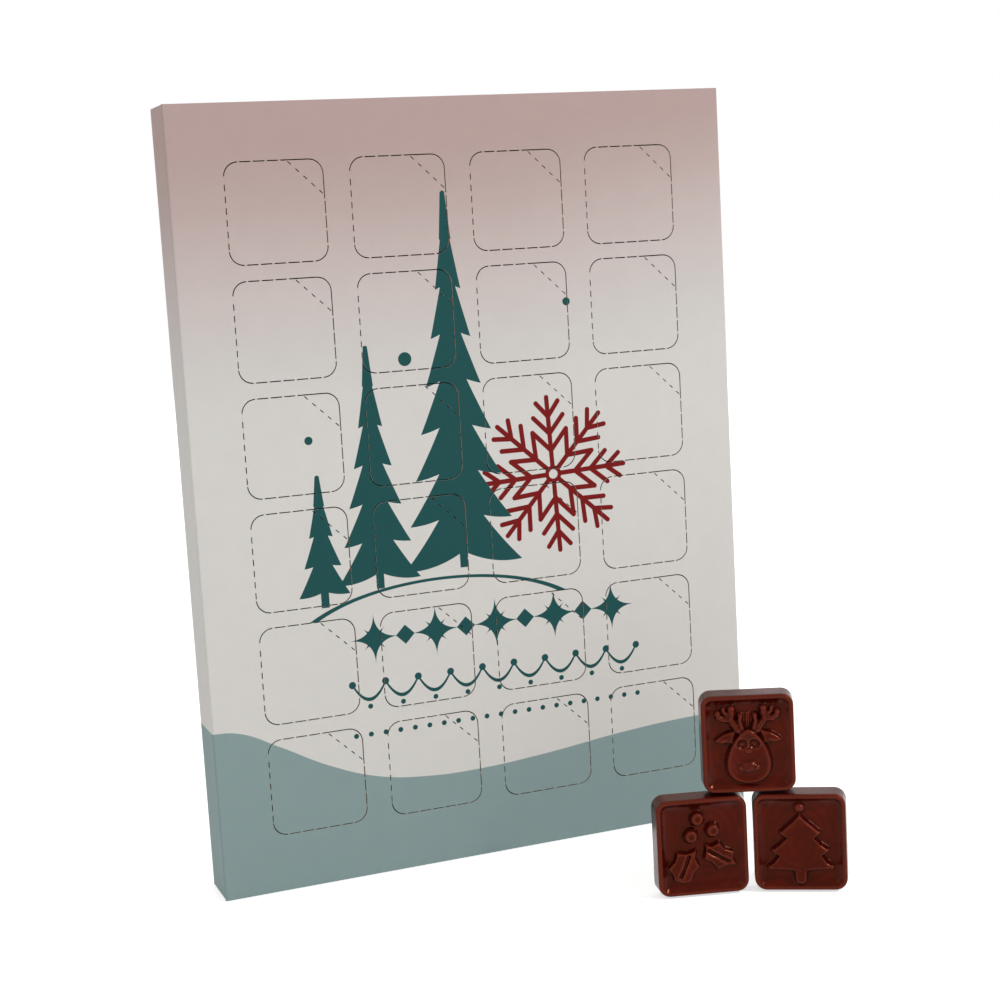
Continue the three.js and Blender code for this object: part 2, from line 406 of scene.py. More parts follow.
class Maths(Enum):
    """What a maths node does."""

    ADD = "ADD"
    SUBTRACT = "SUBTRACT"
    MULTIPLY = "MULTIPLY"
    DIVIDE = "DIVIDE"
    POWER = "POWER"
    ABSOLUTE = "ABSOLUTE"
    ROOT = "SQRT"
    SINE = "SINE"
    COSINE = "COSINE"
    ANGLE = "ARCTAN2"
    FRACTION = "FRACT"
    WHOLE = "FLOOR"
    FOLD = "PINGPONG"
    LEAST = "MINIMUM"
    MOST = "MAXIMUM"


class Blend(Enum):
    """The ways in which one colour goes over another."""

    MIX = "MIX"
    MULTIPLY = "MULTIPLY"


class Signal:
    """A number that varies over a surface, as an output in a material's node tree."""

    def __init__(self, tree: bpy.types.NodeTree, socket: bpy.types.NodeSocket) -> None:
        """Wraps a node's output."""
        self.tree = tree
        self.socket = socket

    def maths(self, step: Maths, *others: Signal | float, clamp: bool = False) -> Signal:
        """Adds a maths node.

        Args:
            step: what the node does.
            *others: its further inputs.
            clamp: whether the result is held between 0 and 1.

        Returns:
            The node's result.
        """
        node = self.tree.nodes.new("ShaderNodeMath")
        node.operation = step.value
        node.use_clamp = clamp
        for place, value in enumerate((self, *others)):
            if isinstance(value, Signal):
                self.tree.links.new(value.socket, node.inputs[place])
            else:
                node.inputs[place].default_value = value
        return Signal(self.tree, node.outputs[0])

    def __add__(self, other: Signal | float) -> Signal:
        """Sum."""
        return self.maths(Maths.ADD, other)

    def __radd__(self, other: float) -> Signal:
        """Sum."""
        return self.maths(Maths.ADD, other)

    def __sub__(self, other: Signal | float) -> Signal:
        """Difference."""
        return self.maths(Maths.SUBTRACT, other)

    def __rsub__(self, other: float) -> Signal:
        """Difference from a number."""
        return (self * -1.0) + other

    def __mul__(self, other: Signal | float) -> Signal:
        """Product."""
        return self.maths(Maths.MULTIPLY, other)

    def __rmul__(self, other: float) -> Signal:
        """Product."""
        return self.maths(Maths.MULTIPLY, other)

    def __truediv__(self, other: Signal | float) -> Signal:
        """Quotient."""
        return self.maths(Maths.DIVIDE, other)

    def __pow__(self, other: float) -> Signal:
        """Power."""
        return self.maths(Maths.POWER, other)

    def __abs__(self) -> Signal:
        """Size without sign."""
        return self.maths(Maths.ABSOLUTE)

    def root(self) -> Signal:
        """Square root."""
        return self.maths(Maths.ROOT)

    def sine(self) -> Signal:
        """Sine."""
        return self.maths(Maths.SINE)

    def cosine(self) -> Signal:
        """Cosine."""
        return self.maths(Maths.COSINE)

    def angle_to(self, along: Signal) -> Signal:
        """The angle whose tangent is this over another, in radians."""
        return self.maths(Maths.ANGLE, along)

    def fraction(self) -> Signal:
        """What is left above the whole number."""
        return self.maths(Maths.FRACTION)

    def whole(self) -> Signal:
        """The whole number below."""
        return self.maths(Maths.WHOLE)

    def folded(self, length: float) -> Signal:
        """Goes up to a length and back again, over and over."""
        return self.maths(Maths.FOLD, length)

    def least(self, other: Signal | float) -> Signal:
        """The lesser of two."""
        return self.maths(Maths.LEAST, other)

    def most(self, other: Signal | float) -> Signal:
        """The greater of two."""
        return self.maths(Maths.MOST, other)

    def held(self) -> Signal:
        """Held between 0 and 1."""
        return self.maths(Maths.ADD, 0.0, clamp=True)


class NodeSheet:
    """A material's node tree while it is written."""

    MIX_INPUTS: ClassVar[tuple[int, int, int]] = (0, 6, 7)
    MIX_OUTPUT: ClassVar[int] = 2

    def __init__(self, name: str) -> None:
        """Starts a material with one Principled shader.

        Args:
            name: the material's name.
        """
        self.material = bpy.data.materials.new(name)
        self.material.use_nodes = True
        self.tree = self.material.node_tree
        self.shader = self.tree.nodes["Principled BSDF"]
        coordinates = self.tree.nodes.new("ShaderNodeTexCoord")
        self.position = coordinates.outputs["Object"]

    def link(self, source: bpy.types.NodeSocket, target: bpy.types.NodeSocket) -> None:
        """Joins two sockets."""
        self.tree.links.new(source, target)

    def constant(self, **values: float | Colour) -> None:
        """Sets the shader's own sockets, named with _ for a space."""
        for name, value in values.items():
            self.shader.inputs[name.replace("_", " ")].default_value = value

    def axes(self) -> tuple[Signal, Signal, Signal]:
        """The place on the object, in millimetres.

        Returns:
            x, y and z as signals.
        """
        scaled = self.tree.nodes.new("ShaderNodeVectorMath")
        scaled.operation = "SCALE"
        scaled.inputs["Scale"].default_value = 1 / Bench.MM
        self.link(self.position, scaled.inputs[0])
        split = self.tree.nodes.new("ShaderNodeSeparateXYZ")
        self.link(scaled.outputs[0], split.inputs[0])
        x, y, z = (Signal(self.tree, output) for output in split.outputs)
        return x, y, z

    def attribute(self, name: str) -> Signal:
        """A number that the mesh carries at each of its points.

        Args:
            name: the attribute's name.

        Returns:
            The number.
        """
        node = self.tree.nodes.new("ShaderNodeAttribute")
        node.attribute_name = name
        return Signal(self.tree, node.outputs["Fac"])

    def noise(
        self,
        size: float,
        detail: float = 3.0,
        roughness: float = 0.55,
        distortion: float = 0.0,
        stretch: Point3 = (1.0, 1.0, 1.0),
        offset: Point3 = (0.0, 0.0, 0.0),
    ) -> Signal:
        """Smooth noise on the object's own coordinates.

        Args:
            size: size of its largest spots in millimetres.
            detail: number of finer layers.
            roughness: how much the finer layers count.
            distortion: how far the spots are swirled.
            stretch: how much denser the spots lie along each axis.
            offset: where in the noise the object lies, in metres.

        Returns:
            The noise, from 0 to 1.
        """
        placed = self.tree.nodes.new("ShaderNodeMapping")
        placed.inputs["Scale"].default_value = stretch
        placed.inputs["Location"].default_value = offset
        self.link(self.position, placed.inputs["Vector"])
        node = self.tree.nodes.new("ShaderNodeTexNoise")
        node.inputs["Scale"].default_value = 1 / (size * Bench.MM)
        node.inputs["Detail"].default_value = detail
        node.inputs["Roughness"].default_value = roughness
        node.inputs["Distortion"].default_value = distortion
        self.link(placed.outputs[0], node.inputs["Vector"])
        return Signal(self.tree, node.outputs["Fac"])

    def ramp(
        self, signal: Signal, stops: Iterable[tuple[float, Colour]]
    ) -> bpy.types.NodeSocket:
        """A colour that changes with a signal.

        Args:
            signal: a signal from 0 to 1.
            stops: places from 0 to 1 and the colours there.

        Returns:
            The colour.
        """
        node = self.tree.nodes.new("ShaderNodeValToRGB")
        elements = node.color_ramp.elements
        listed = list(stops)
        while len(elements) < len(listed):
            elements.new(1.0)
        for element, (place, colour) in zip(elements, listed):
            element.position = place
            element.color = colour
        self.link(signal.socket, node.inputs[0])
        return node.outputs["Color"]

    def mix(
        self,
        share: Signal | float,
        under: bpy.types.NodeSocket | Colour,
        over: bpy.types.NodeSocket | Colour,
        blend: Blend = Blend.MIX,
    ) -> bpy.types.NodeSocket:
        """Lays one colour over another.

        Args:
            share: how much of the upper colour shows.
            under: the lower colour.
            over: the upper colour.
            blend: the way in which they mix.

        Returns:
            The mixed colour.
        """
        node = self.tree.nodes.new("ShaderNodeMix")
        node.data_type = "RGBA"
        node.blend_type = blend.value
        for place, value in zip(self.MIX_INPUTS, (share, under, over)):
            if isinstance(value, Signal):
                self.link(value.socket, node.inputs[place])
            elif isinstance(value, bpy.types.NodeSocket):
                self.link(value, node.inputs[place])
            else:
                node.inputs[place].default_value = value
        return node.outputs[self.MIX_OUTPUT]

    def bump(self, height: Signal, depth: float) -> None:
        """Gives the shader a fine relief, on top of any that it has.

        Args:
            height: the relief, from 0 to 1.
            depth: its depth in millimetres.
        """
        node = self.tree.nodes.new("ShaderNodeBump")
        node.inputs["Distance"].default_value = depth * Bench.MM
        self.link(height.socket, node.inputs["Height"])
        previous = self.shader.inputs["Normal"].links
        if previous:
            self.link(previous[0].from_socket, node.inputs["Normal"])
        self.link(node.outputs["Normal"], self.shader.inputs["Normal"])

    def paint(self, colour: bpy.types.NodeSocket) -> None:
        """Gives the shader its colour."""
        self.link(colour, self.shader.inputs["Base Color"])

    def roughness(self, signal: Signal) -> None:
        """Gives the shader its roughness."""
        self.link(signal.socket, self.shader.inputs["Roughness"])


class Ink:
    """Printed shapes, each as a signed distance in millimetres, below 0 on the ink."""

    EDGE = 0.12

    @staticmethod
    def cover(distance: Signal) -> Signal:
        """1 on the ink and 0 off it, with a soft edge, from the distance to it."""
        return (distance / -Ink.EDGE + 0.5).held()

    @staticmethod
    def length(x: Signal, y: Signal) -> Signal:
        """Distance from the origin."""
        return (x * x + y * y).root()

    @staticmethod
    def together(*shapes: Signal) -> Signal:
        """The signed distance to several shapes at once."""
        return reduce(Signal.least, shapes)

    @staticmethod
    def disc(x: Signal, y: Signal, middle: Point2, radius: float) -> Signal:
        """The signed distance to a filled circle."""
        return Ink.length(x - middle[0], y - middle[1]) - radius

    @staticmethod
    def repeated(place: Signal, first: float, pitch: float, count: int) -> Signal:
        """The signed distance along a row from the middle of the nearest of its copies."""
        nearest = ((place - first) / pitch + 0.5).whole().most(0.0).least(count - 1.0)
        return place - first - nearest * pitch

    @staticmethod
    def stroke(x: Signal, y: Signal, start: Point2, end: Point2, half: float) -> Signal:
        """A straight stroke with round ends.

        Args:
            x: the place across.
            y: the place down.
            start: one end.
            end: the other end.
            half: half the stroke's width.

        Returns:
            The signed distance.
        """
        run = (end[0] - start[0], end[1] - start[1])
        squared = run[0] ** 2 + run[1] ** 2
        across, down = x - start[0], y - start[1]
        along = (across * (run[0] / squared) + down * (run[1] / squared)).held()
        return Ink.length(across - along * run[0], down - along * run[1]) - half


# Finishes


@dataclass(frozen=True)
class Snowflake:
    """The eight-armed snowflake of the front print, in millimetres from its middle."""

    middle: Point2 = (135.25, 139.1)
    turn: float = math.radians(2.5)
    arms: int = 8
    half_stroke: float = 0.9
    ring_radius: float = 2.5
    ring_half_stroke: float = 0.75
    strokes: tuple[tuple[Point2, Point2], ...] = (
        ((2.6, 0.0), (28.8, 0.0)),
        ((8.9, 0.0), (16.3, 6.75)),
        ((15.2, 0.0), (21.7, 5.9)),
        ((21.6, 0.0), (27.0, 4.4)),
    )

    def distance(self, x: Signal, y: Signal) -> Signal:
        """The snowflake's signed distance.

        Args:
            x: the place across the panel.
            y: the place down the panel.

        Returns:
            The signed distance in millimetres.
        """
        across, down = x - self.middle[0], y - self.middle[1]
        radius = Ink.length(across, down)
        angle = down.angle_to(across) + self.turn
        fold = angle.folded(math.pi / self.arms)
        along, side = radius * fold.cosine(), radius * fold.sine()
        ring = abs(radius - self.ring_radius) - self.ring_half_stroke
        strokes = (
            Ink.stroke(along, side, start, end, self.half_stroke)
            for start, end in self.strokes
        )
        return Ink.together(ring, *strokes)


@dataclass(frozen=True)
class PrintedFir:
    """A fir tree of the front print, in millimetres from the panel's top left corner."""

    x: float
    base: float
    height: float
    half_width: float
    tiers: int
    droop: float = 0.1
    lift: float = 0.06
    narrowing: float = 0.62
    slimness: float = 1.12
    half_trunk: float = 1.5
    trunk: float = 6.0
    widest: float = 1.2

    def distance(self, x: Signal, y: Signal) -> Signal:
        """The tree's signed distance, roughly.

        Args:
            x: the place across the panel.
            y: the place down the panel.

        Returns:
            The signed distance in millimetres.
        """
        side = abs(x - self.x)
        reach = (side / self.half_width).least(self.widest)
        rise = (self.base - y) / self.height
        rise = rise + reach * self.droop - reach * reach * self.lift
        steps = rise * self.tiers
        lower = (steps.whole() / self.tiers).held()
        left_over = (1.0 - lower) ** self.slimness
        half = left_over * (1.0 - steps.fraction() * self.narrowing) * self.half_width
        above = (rise - 1.0) * self.height
        boughs = (side - half).most(rise * -self.height).most(above)
        trunk = (side - self.half_trunk).most(abs(y - self.base) - self.trunk)
        return boughs.least(trunk)


@dataclass(frozen=True)
class PrintedHill:
    """The thin line of the hill under the trees: the top of an ellipse's outline."""

    middle: Point2 = (88.0, 196.0)
    half_width: float = 58.0
    rise: float = 23.0
    half_stroke: float = 0.55
    shown_above: float = 0.55

    def distance(self, x: Signal, y: Signal) -> Signal:
        """The line's signed distance, roughly.

        Args:
            x: the place across the panel.
            y: the place down the panel.

        Returns:
            The signed distance in millimetres.
        """
        down = y - self.middle[1]
        radius = Ink.length((x - self.middle[0]) / self.half_width, down / self.rise)
        arc = abs(radius - 1.0) * self.rise - self.half_stroke
        return arc.most(down + self.rise * self.shown_above)


@dataclass(frozen=True)
class OrnamentRows:
    """Three rows of small ornaments, in millimetres from the panel's top left corner."""

    middle: float = 109.0
    star_row: float = 192.0
    star_pitch: float = 23.6
    stars: int = 5
    star_reach: float = 9.8
    ray_reach: float = 6.2
    diamond: float = 3.6
    swag_row: float = 208.2
    swag_pitch: float = 12.6
    swags: int = 9
    swag_depth: float = 6.0
    swag_half_stroke: float = 0.55
    swag_slope: float = 0.8
    pendant_drop: float = 2.6
    bead: float = 1.35
    bead_row: float = 227.2
    bead_pitch: float = 5.65
    beads: int = 21
    small_bead: float = 0.95
    SPARK_SLOPE: ClassVar[float] = 0.75

    def row(self, x: Signal, pitch: float, count: int) -> Signal:
        """The place within one ornament of a centred row."""
        return Ink.repeated(x, self.middle - pitch * (count - 1) / 2, pitch, count)

    @classmethod
    def spark(cls, x: Signal, y: Signal, reach: float) -> Signal:
        """Roughly the signed distance to a four-pointed star with hollow sides."""
        sum_of_roots = abs(x).root() + abs(y).root()
        return (sum_of_roots - math.sqrt(reach)) * (cls.SPARK_SLOPE * math.sqrt(reach))

    def distance(self, x: Signal, y: Signal) -> Signal:
        """The rows' signed distance.

        Args:
            x: the place across the panel.
            y: the place down the panel.

        Returns:
            The signed distance in millimetres.
        """
        across = self.row(x, self.star_pitch, self.stars)
        down = y - self.star_row
        half = math.sqrt(0.5)
        leaning, rising = (across + down) * half, (across - down) * half
        star = self.spark(across, down, self.star_reach)
        star = star.least(self.spark(leaning, rising, self.ray_reach))
        between = self.row(x, self.star_pitch, self.stars - 1)
        lozenge = (abs(between) + abs(down) - self.diamond) * half
        swag = self.row(x, self.swag_pitch, self.swags)
        share = swag / (self.swag_pitch / 2)
        hang = y - self.swag_row - (1.0 - share * share) * self.swag_depth
        curve = abs(hang) * self.swag_slope - self.swag_half_stroke
        curve = curve.most(abs(swag) - self.swag_pitch / 2)
        joint = self.row(x, self.swag_pitch, self.swags + 1)
        knot = Ink.length(joint, y - self.swag_row) - self.bead
        lowest = self.swag_row + self.swag_depth + self.pendant_drop
        pendant = Ink.length(swag, y - lowest) - self.small_bead
        small = self.row(x, self.bead_pitch, self.beads)
        beads = Ink.length(small, y - self.bead_row) - self.small_bead
        return Ink.together(star, lozenge, curve, knot, pendant, beads)


@dataclass(frozen=True)
class PrintedBoard:
    """Coated folding board with the calendar's print on it, matt with a slight sheen."""

    sizes: CartonSizes = CartonSizes()
    front_margin: float = 0.1
    gradient: tuple[tuple[float, str], ...] = (
        (0.0, "b49c98"), (14.0, "b49c98"), (26.0, "b6a19c"), (38.0, "bba8a4"),
        (50.0, "c1b2ad"), (66.0, "c8bdb9"), (86.0, "ccc7c3"), (106.0, "d1cec9"),
        (126.0, "d3d0cb"),
    )
    gradient_end: float = 130.0
    lean_start: float = 120.0
    lean: float = 0.13
    sage: str = "869a99"
    green: str = "214e4e"
    red: str = "761919"
    wave: Points = (
        (0.0, 218.6), (10.0, 219.8), (24.0, 226.8), (42.0, 236.6), (60.0, 243.4),
        (80.0, 246.4), (98.0, 246.8), (125.0, 245.2), (160.0, 241.6), (190.0, 240.0),
        (210.0, 240.4),
    )
    firs: tuple[PrintedFir, ...] = (
        PrintedFir(x=98.0, base=164.0, height=131.0, half_width=23.0, tiers=8),
        PrintedFir(x=65.5, base=168.0, height=82.0, half_width=15.5, tiers=6),
        PrintedFir(x=44.5, base=172.5, height=42.0, half_width=9.5, tiers=4),
    )
    hill: PrintedHill = PrintedHill()
    dots: tuple[tuple[Point2, float], ...] = (
        ((80.1, 92.0), 2.5),
        ((144.0, 75.6), 1.5),
        ((42.5, 118.0), 1.5),
    )
    rows: OrnamentRows = OrnamentRows()
    snowflake: Snowflake = Snowflake()
    mottle: float = 9.0
    mottle_shade: float = 0.975
    mottle_range: Point2 = (0.3, 0.7)
    texture: float = 0.35
    texture_depth: float = 0.012
    roughness: float = 0.5
    roughness_spread: float = 0.1
    index: float = 1.45
    specular: float = 0.08

    def wave_distance(self, sheet: NodeSheet, x: Signal, y: Signal) -> Signal:
        """The signed distance to the lower, sage field.

        Args:
            sheet: the material's node tree.
            x: the place across the panel.
            y: the place down the panel.

        Returns:
            The distance, below 0 in the field.
        """
        curve = sheet.tree.nodes.new("ShaderNodeFloatCurve")
        points = curve.mapping.curves[0].points
        while len(points) < len(self.wave):
            points.new(0.5, 0.5)
        for point, (across, down) in zip(points, self.wave):
            point.location = (across / self.sizes.width, down / self.sizes.height)
            point.handle_type = "AUTO"
        curve.mapping.update()
        share = (x / self.sizes.width).held()
        sheet.link(share.socket, curve.inputs["Value"])
        edge = Signal(sheet.tree, curve.outputs["Value"]) * self.sizes.height
        return edge - y

    def figures(self, x: Signal, y: Signal) -> Signal:
        """All that is printed in green.

        Args:
            x: the place across the panel.
            y: the place down the panel.

        Returns:
            The signed distance in millimetres.
        """
        firs = (fir.distance(x, y) for fir in self.firs)
        dots = (Ink.disc(x, y, middle, radius) for middle, radius in self.dots)
        rows, hill = self.rows.distance(x, y), self.hill.distance(x, y)
        return Ink.together(rows, hill, *firs, *dots)

    def material(self, name: str) -> bpy.types.Material:
        """The printed board.

        Args:
            name: the material's name.

        Returns:
            The material.
        """
        sheet = NodeSheet(name)
        x, y, z = sheet.axes()
        across = x + self.sizes.width / 2
        down = self.sizes.height - z
        shifted = down + (across - self.lean_start).most(0.0) * self.lean
        stops = [(at / self.gradient_end, srgb(code)) for at, code in self.gradient]
        colour = sheet.ramp((shifted / self.gradient_end).held(), stops)
        wave = Ink.cover(self.wave_distance(sheet, across, down))
        colour = sheet.mix(wave, colour, srgb(self.sage))
        on_front = Ink.cover(y + (self.sizes.front - self.front_margin))
        flake = Ink.cover(self.snowflake.distance(across, down))
        colour = sheet.mix(flake * on_front, colour, srgb(self.red))
        green = Ink.cover(self.figures(across, down))
        colour = sheet.mix(green * on_front, colour, srgb(self.green))
        mottle = sheet.noise(self.mottle, detail=4.0)
        shades = ((self.mottle_shade,) * 3 + (1.0,), (1.0,) * 4)
        tone = sheet.ramp(mottle, zip(self.mottle_range, shades))
        sheet.paint(sheet.mix(1.0, colour, tone, Blend.MULTIPLY))
        fibres = sheet.noise(self.texture, detail=4.0, roughness=0.6)
        sheet.bump(fibres, self.texture_depth)
        sheet.roughness(mottle * self.roughness_spread + self.roughness)
        sheet.constant(IOR=self.index, Specular_IOR_Level=self.specular)
        return sheet.material


@dataclass(frozen=True)
class PlainBoard:
    """The board's uncoated side and its cut edges: warm grey pulp with short fibres."""

    light: str = "c9c4b8"
    dark: str = "b1ab9d"
    fibre: float = 0.9
    fibre_stretch: Point3 = (1.0, 1.0, 0.45)
    fibre_share: float = 0.75
    blotch: float = 14.0
    blotch_share: float = 0.35
    tones: Point2 = (0.35, 0.62)
    depth: float = 0.03
    roughness: float = 0.85
    specular: float = 0.25

    def material(self, name: str) -> bpy.types.Material:
        """The uncoated board.

        Args:
            name: the material's name.

        Returns:
            The material.
        """
        sheet = NodeSheet(name)
        pulp = sheet.noise(
            self.fibre, detail=5.0, roughness=0.7, stretch=self.fibre_stretch
        )
        blotch = sheet.noise(self.blotch, detail=2.0, offset=(0.3, 0.1, 0.2))
        share = (pulp * self.fibre_share + blotch * self.blotch_share).held()
        sheet.paint(sheet.ramp(share, zip(self.tones, map(srgb, (self.dark, self.light)))))
        sheet.bump(pulp, self.depth)
        sheet.constant(Roughness=self.roughness, Specular_IOR_Level=self.specular)
        return sheet.material


@dataclass(frozen=True)
class FormedTray:
    """Thin formed plastic in golden brown, satin, with the faint waves of its forming."""

    light: str = "9a6a38"
    dark: str = "7c4e24"
    tones: Point2 = (0.3, 0.7)
    wave: float = 22.0
    wave_depth: float = 0.12
    grain: float = 0.7
    grain_depth: float = 0.006
    roughness: float = 0.24
    roughness_spread: float = 0.16
    index: float = 1.5
    coat: float = 0.15
    coat_roughness: float = 0.25

    def material(self, name: str) -> bpy.types.Material:
        """The tray's plastic.

        Args:
            name: the material's name.

        Returns:
            The material.
        """
        sheet = NodeSheet(name)
        flow = sheet.noise(self.wave, detail=2.0, distortion=0.6)
        grain = sheet.noise(self.grain, detail=3.0, offset=(0.2, 0.0, 0.5))
        sheet.paint(sheet.ramp(flow, zip(self.tones, map(srgb, (self.dark, self.light)))))
        sheet.bump(flow, self.wave_depth)
        sheet.bump(grain, self.grain_depth)
        sheet.roughness(grain * self.roughness_spread + self.roughness)
        sheet.constant(
            IOR=self.index, Coat_Weight=self.coat, Coat_Roughness=self.coat_roughness
        )
        return sheet.material


@dataclass(frozen=True)
class MouldedChocolate:
    """Moulded chocolate: deep red-brown and satin, with the swirls of its pouring, a
    painted highlight on its outward bends and painted shade in its hollows.
    """

    FLOW: ClassVar[str] = "flow"
    BEND: ClassVar[str] = "bend"

    deep: str = "2e0301"
    body: str = "3a0401"
    bloom: str = "4d0c04"
    # Painted highlight on outward bends: its colour, its greatest share, and the bend where
    # it starts with its steepness. Then the same three for the painted shade in hollows and
    # in the gaps beside the figures.
    edge: str = "7c3626"
    painted_highlight_share: float = 0.4
    painted_highlight_bend: Point2 = (0.12, 1.6)
    painted_shade: str = "180200"
    painted_shade_share: float = 0.75
    painted_shade_bend: Point2 = (-0.1, -1.8)
    tones: Point3 = (0.3, 0.5, 0.75)
    drift: float = 11.0
    drift_share: float = 0.35
    rings: float = 6.0
    ring_share: float = 0.12
    ring_depth: float = 0.012
    cloud: float = 8.0
    cloud_share: float = 0.8
    cloud_depth: float = 0.1
    darkest: float = 0.04
    skin: float = 0.55
    skin_depth: float = 0.004
    roughness: float = 0.16
    roughness_spread: float = 0.14
    index: float = 1.48
    specular: float = 0.36
    gleam: Colour = (1.0, 0.3, 0.18, 1.0)

    def material(self, name: str) -> bpy.types.Material:
        """The chocolate.

        Args:
            name: the material's name.

        Returns:
            The material.
        """
        sheet = NodeSheet(name)
        drift = sheet.noise(self.drift, detail=2.0, offset=(0.3, 0.1, 0.7))
        pour = sheet.attribute(self.FLOW) + drift * self.drift_share
        bands = (pour * (self.rings * 2 * math.pi)).sine() * 0.5 + 0.5
        cloud = sheet.noise(self.cloud, detail=3.0, offset=(0.1, 0.4, 0.2))
        skin = sheet.noise(self.skin, detail=3.0, offset=(0.5, 0.2, 0.1))
        share = bands * self.ring_share + cloud * self.cloud_share + self.darkest
        codes = (self.deep, self.body, self.bloom)
        colour = sheet.ramp(share.held(), zip(self.tones, map(srgb, codes)))
        bend = sheet.attribute(self.BEND)
        # Painted light: a lighter colour on outward bends stands in for highlights, and a
        # darker one in hollows stands in for shade.
        for (start, steepness), most, code in (
            (self.painted_highlight_bend, self.painted_highlight_share, self.edge),
            (self.painted_shade_bend, self.painted_shade_share, self.painted_shade),
        ):
            painted_light_share = ((bend - start) * steepness).held() * most
            colour = sheet.mix(painted_light_share, colour, srgb(code))
        sheet.paint(colour)
        sheet.bump(cloud, self.cloud_depth)
        sheet.bump(bands, self.ring_depth)
        sheet.bump(skin, self.skin_depth)
        sheet.roughness(cloud * self.roughness_spread + self.roughness)
        sheet.constant(IOR=self.index, Specular_IOR_Level=self.specular)
        sheet.constant(Specular_Tint=self.gleam)
        return sheet.material


class Slot(Enum):
    """The record's material slots."""

    PRINTED_BOARD = "printed_board"
    PLAIN_BOARD = "plain_board"
    FORMED_TRAY = "formed_tray"
    CHOCOLATE = "chocolate"


SHOWN_NODES = {"glue_flap": Slot.PLAIN_BOARD}


@dataclass(frozen=True)
class Finishes:
    """The calendar's materials, by slot."""

    materials: dict[Slot, bpy.types.Material]

    @staticmethod
    def make() -> Finishes:
        """Makes each finish once."""
        return Finishes(
            {
                Slot.PRINTED_BOARD: PrintedBoard().material("printed_board"),
                Slot.PLAIN_BOARD: PlainBoard().material("plain_board"),
                Slot.FORMED_TRAY: FormedTray().material("formed_tray"),
                Slot.CHOCOLATE: MouldedChocolate().material("moulded_chocolate"),
            }
        )

    def __getitem__(self, slot: Slot) -> bpy.types.Material:
        """The material of a slot."""
        return self.materials[slot]


def finish_piece(
    piece: bpy.types.Object,
    body: str,
    replaced: Sequence[str] = (),
    place: Matrix | None = None,
) -> bpy.types.Object:
    """Args:
        piece: the piece, in bench coordinates.
        body: the body it moves with.
        replaced: the CAD nodes that it stands for.
        place: its place on the bench, if it was made elsewhere.

    Returns:
        The piece.
    """
    piece.data.transform(Bench.TO_FRAME @ (place or Matrix.Identity(4)))
    piece.data.update()
    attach(piece, body)
    if replaced:
        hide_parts(*replaced)
    log.info("%s: %d faces, on %s", piece.name, len(piece.data.polygons), body)
    return piece


# Carton


class End(Enum):
    """The carton's ends, with their directions along y."""

    TOP = 1
    BOTTOM = -1


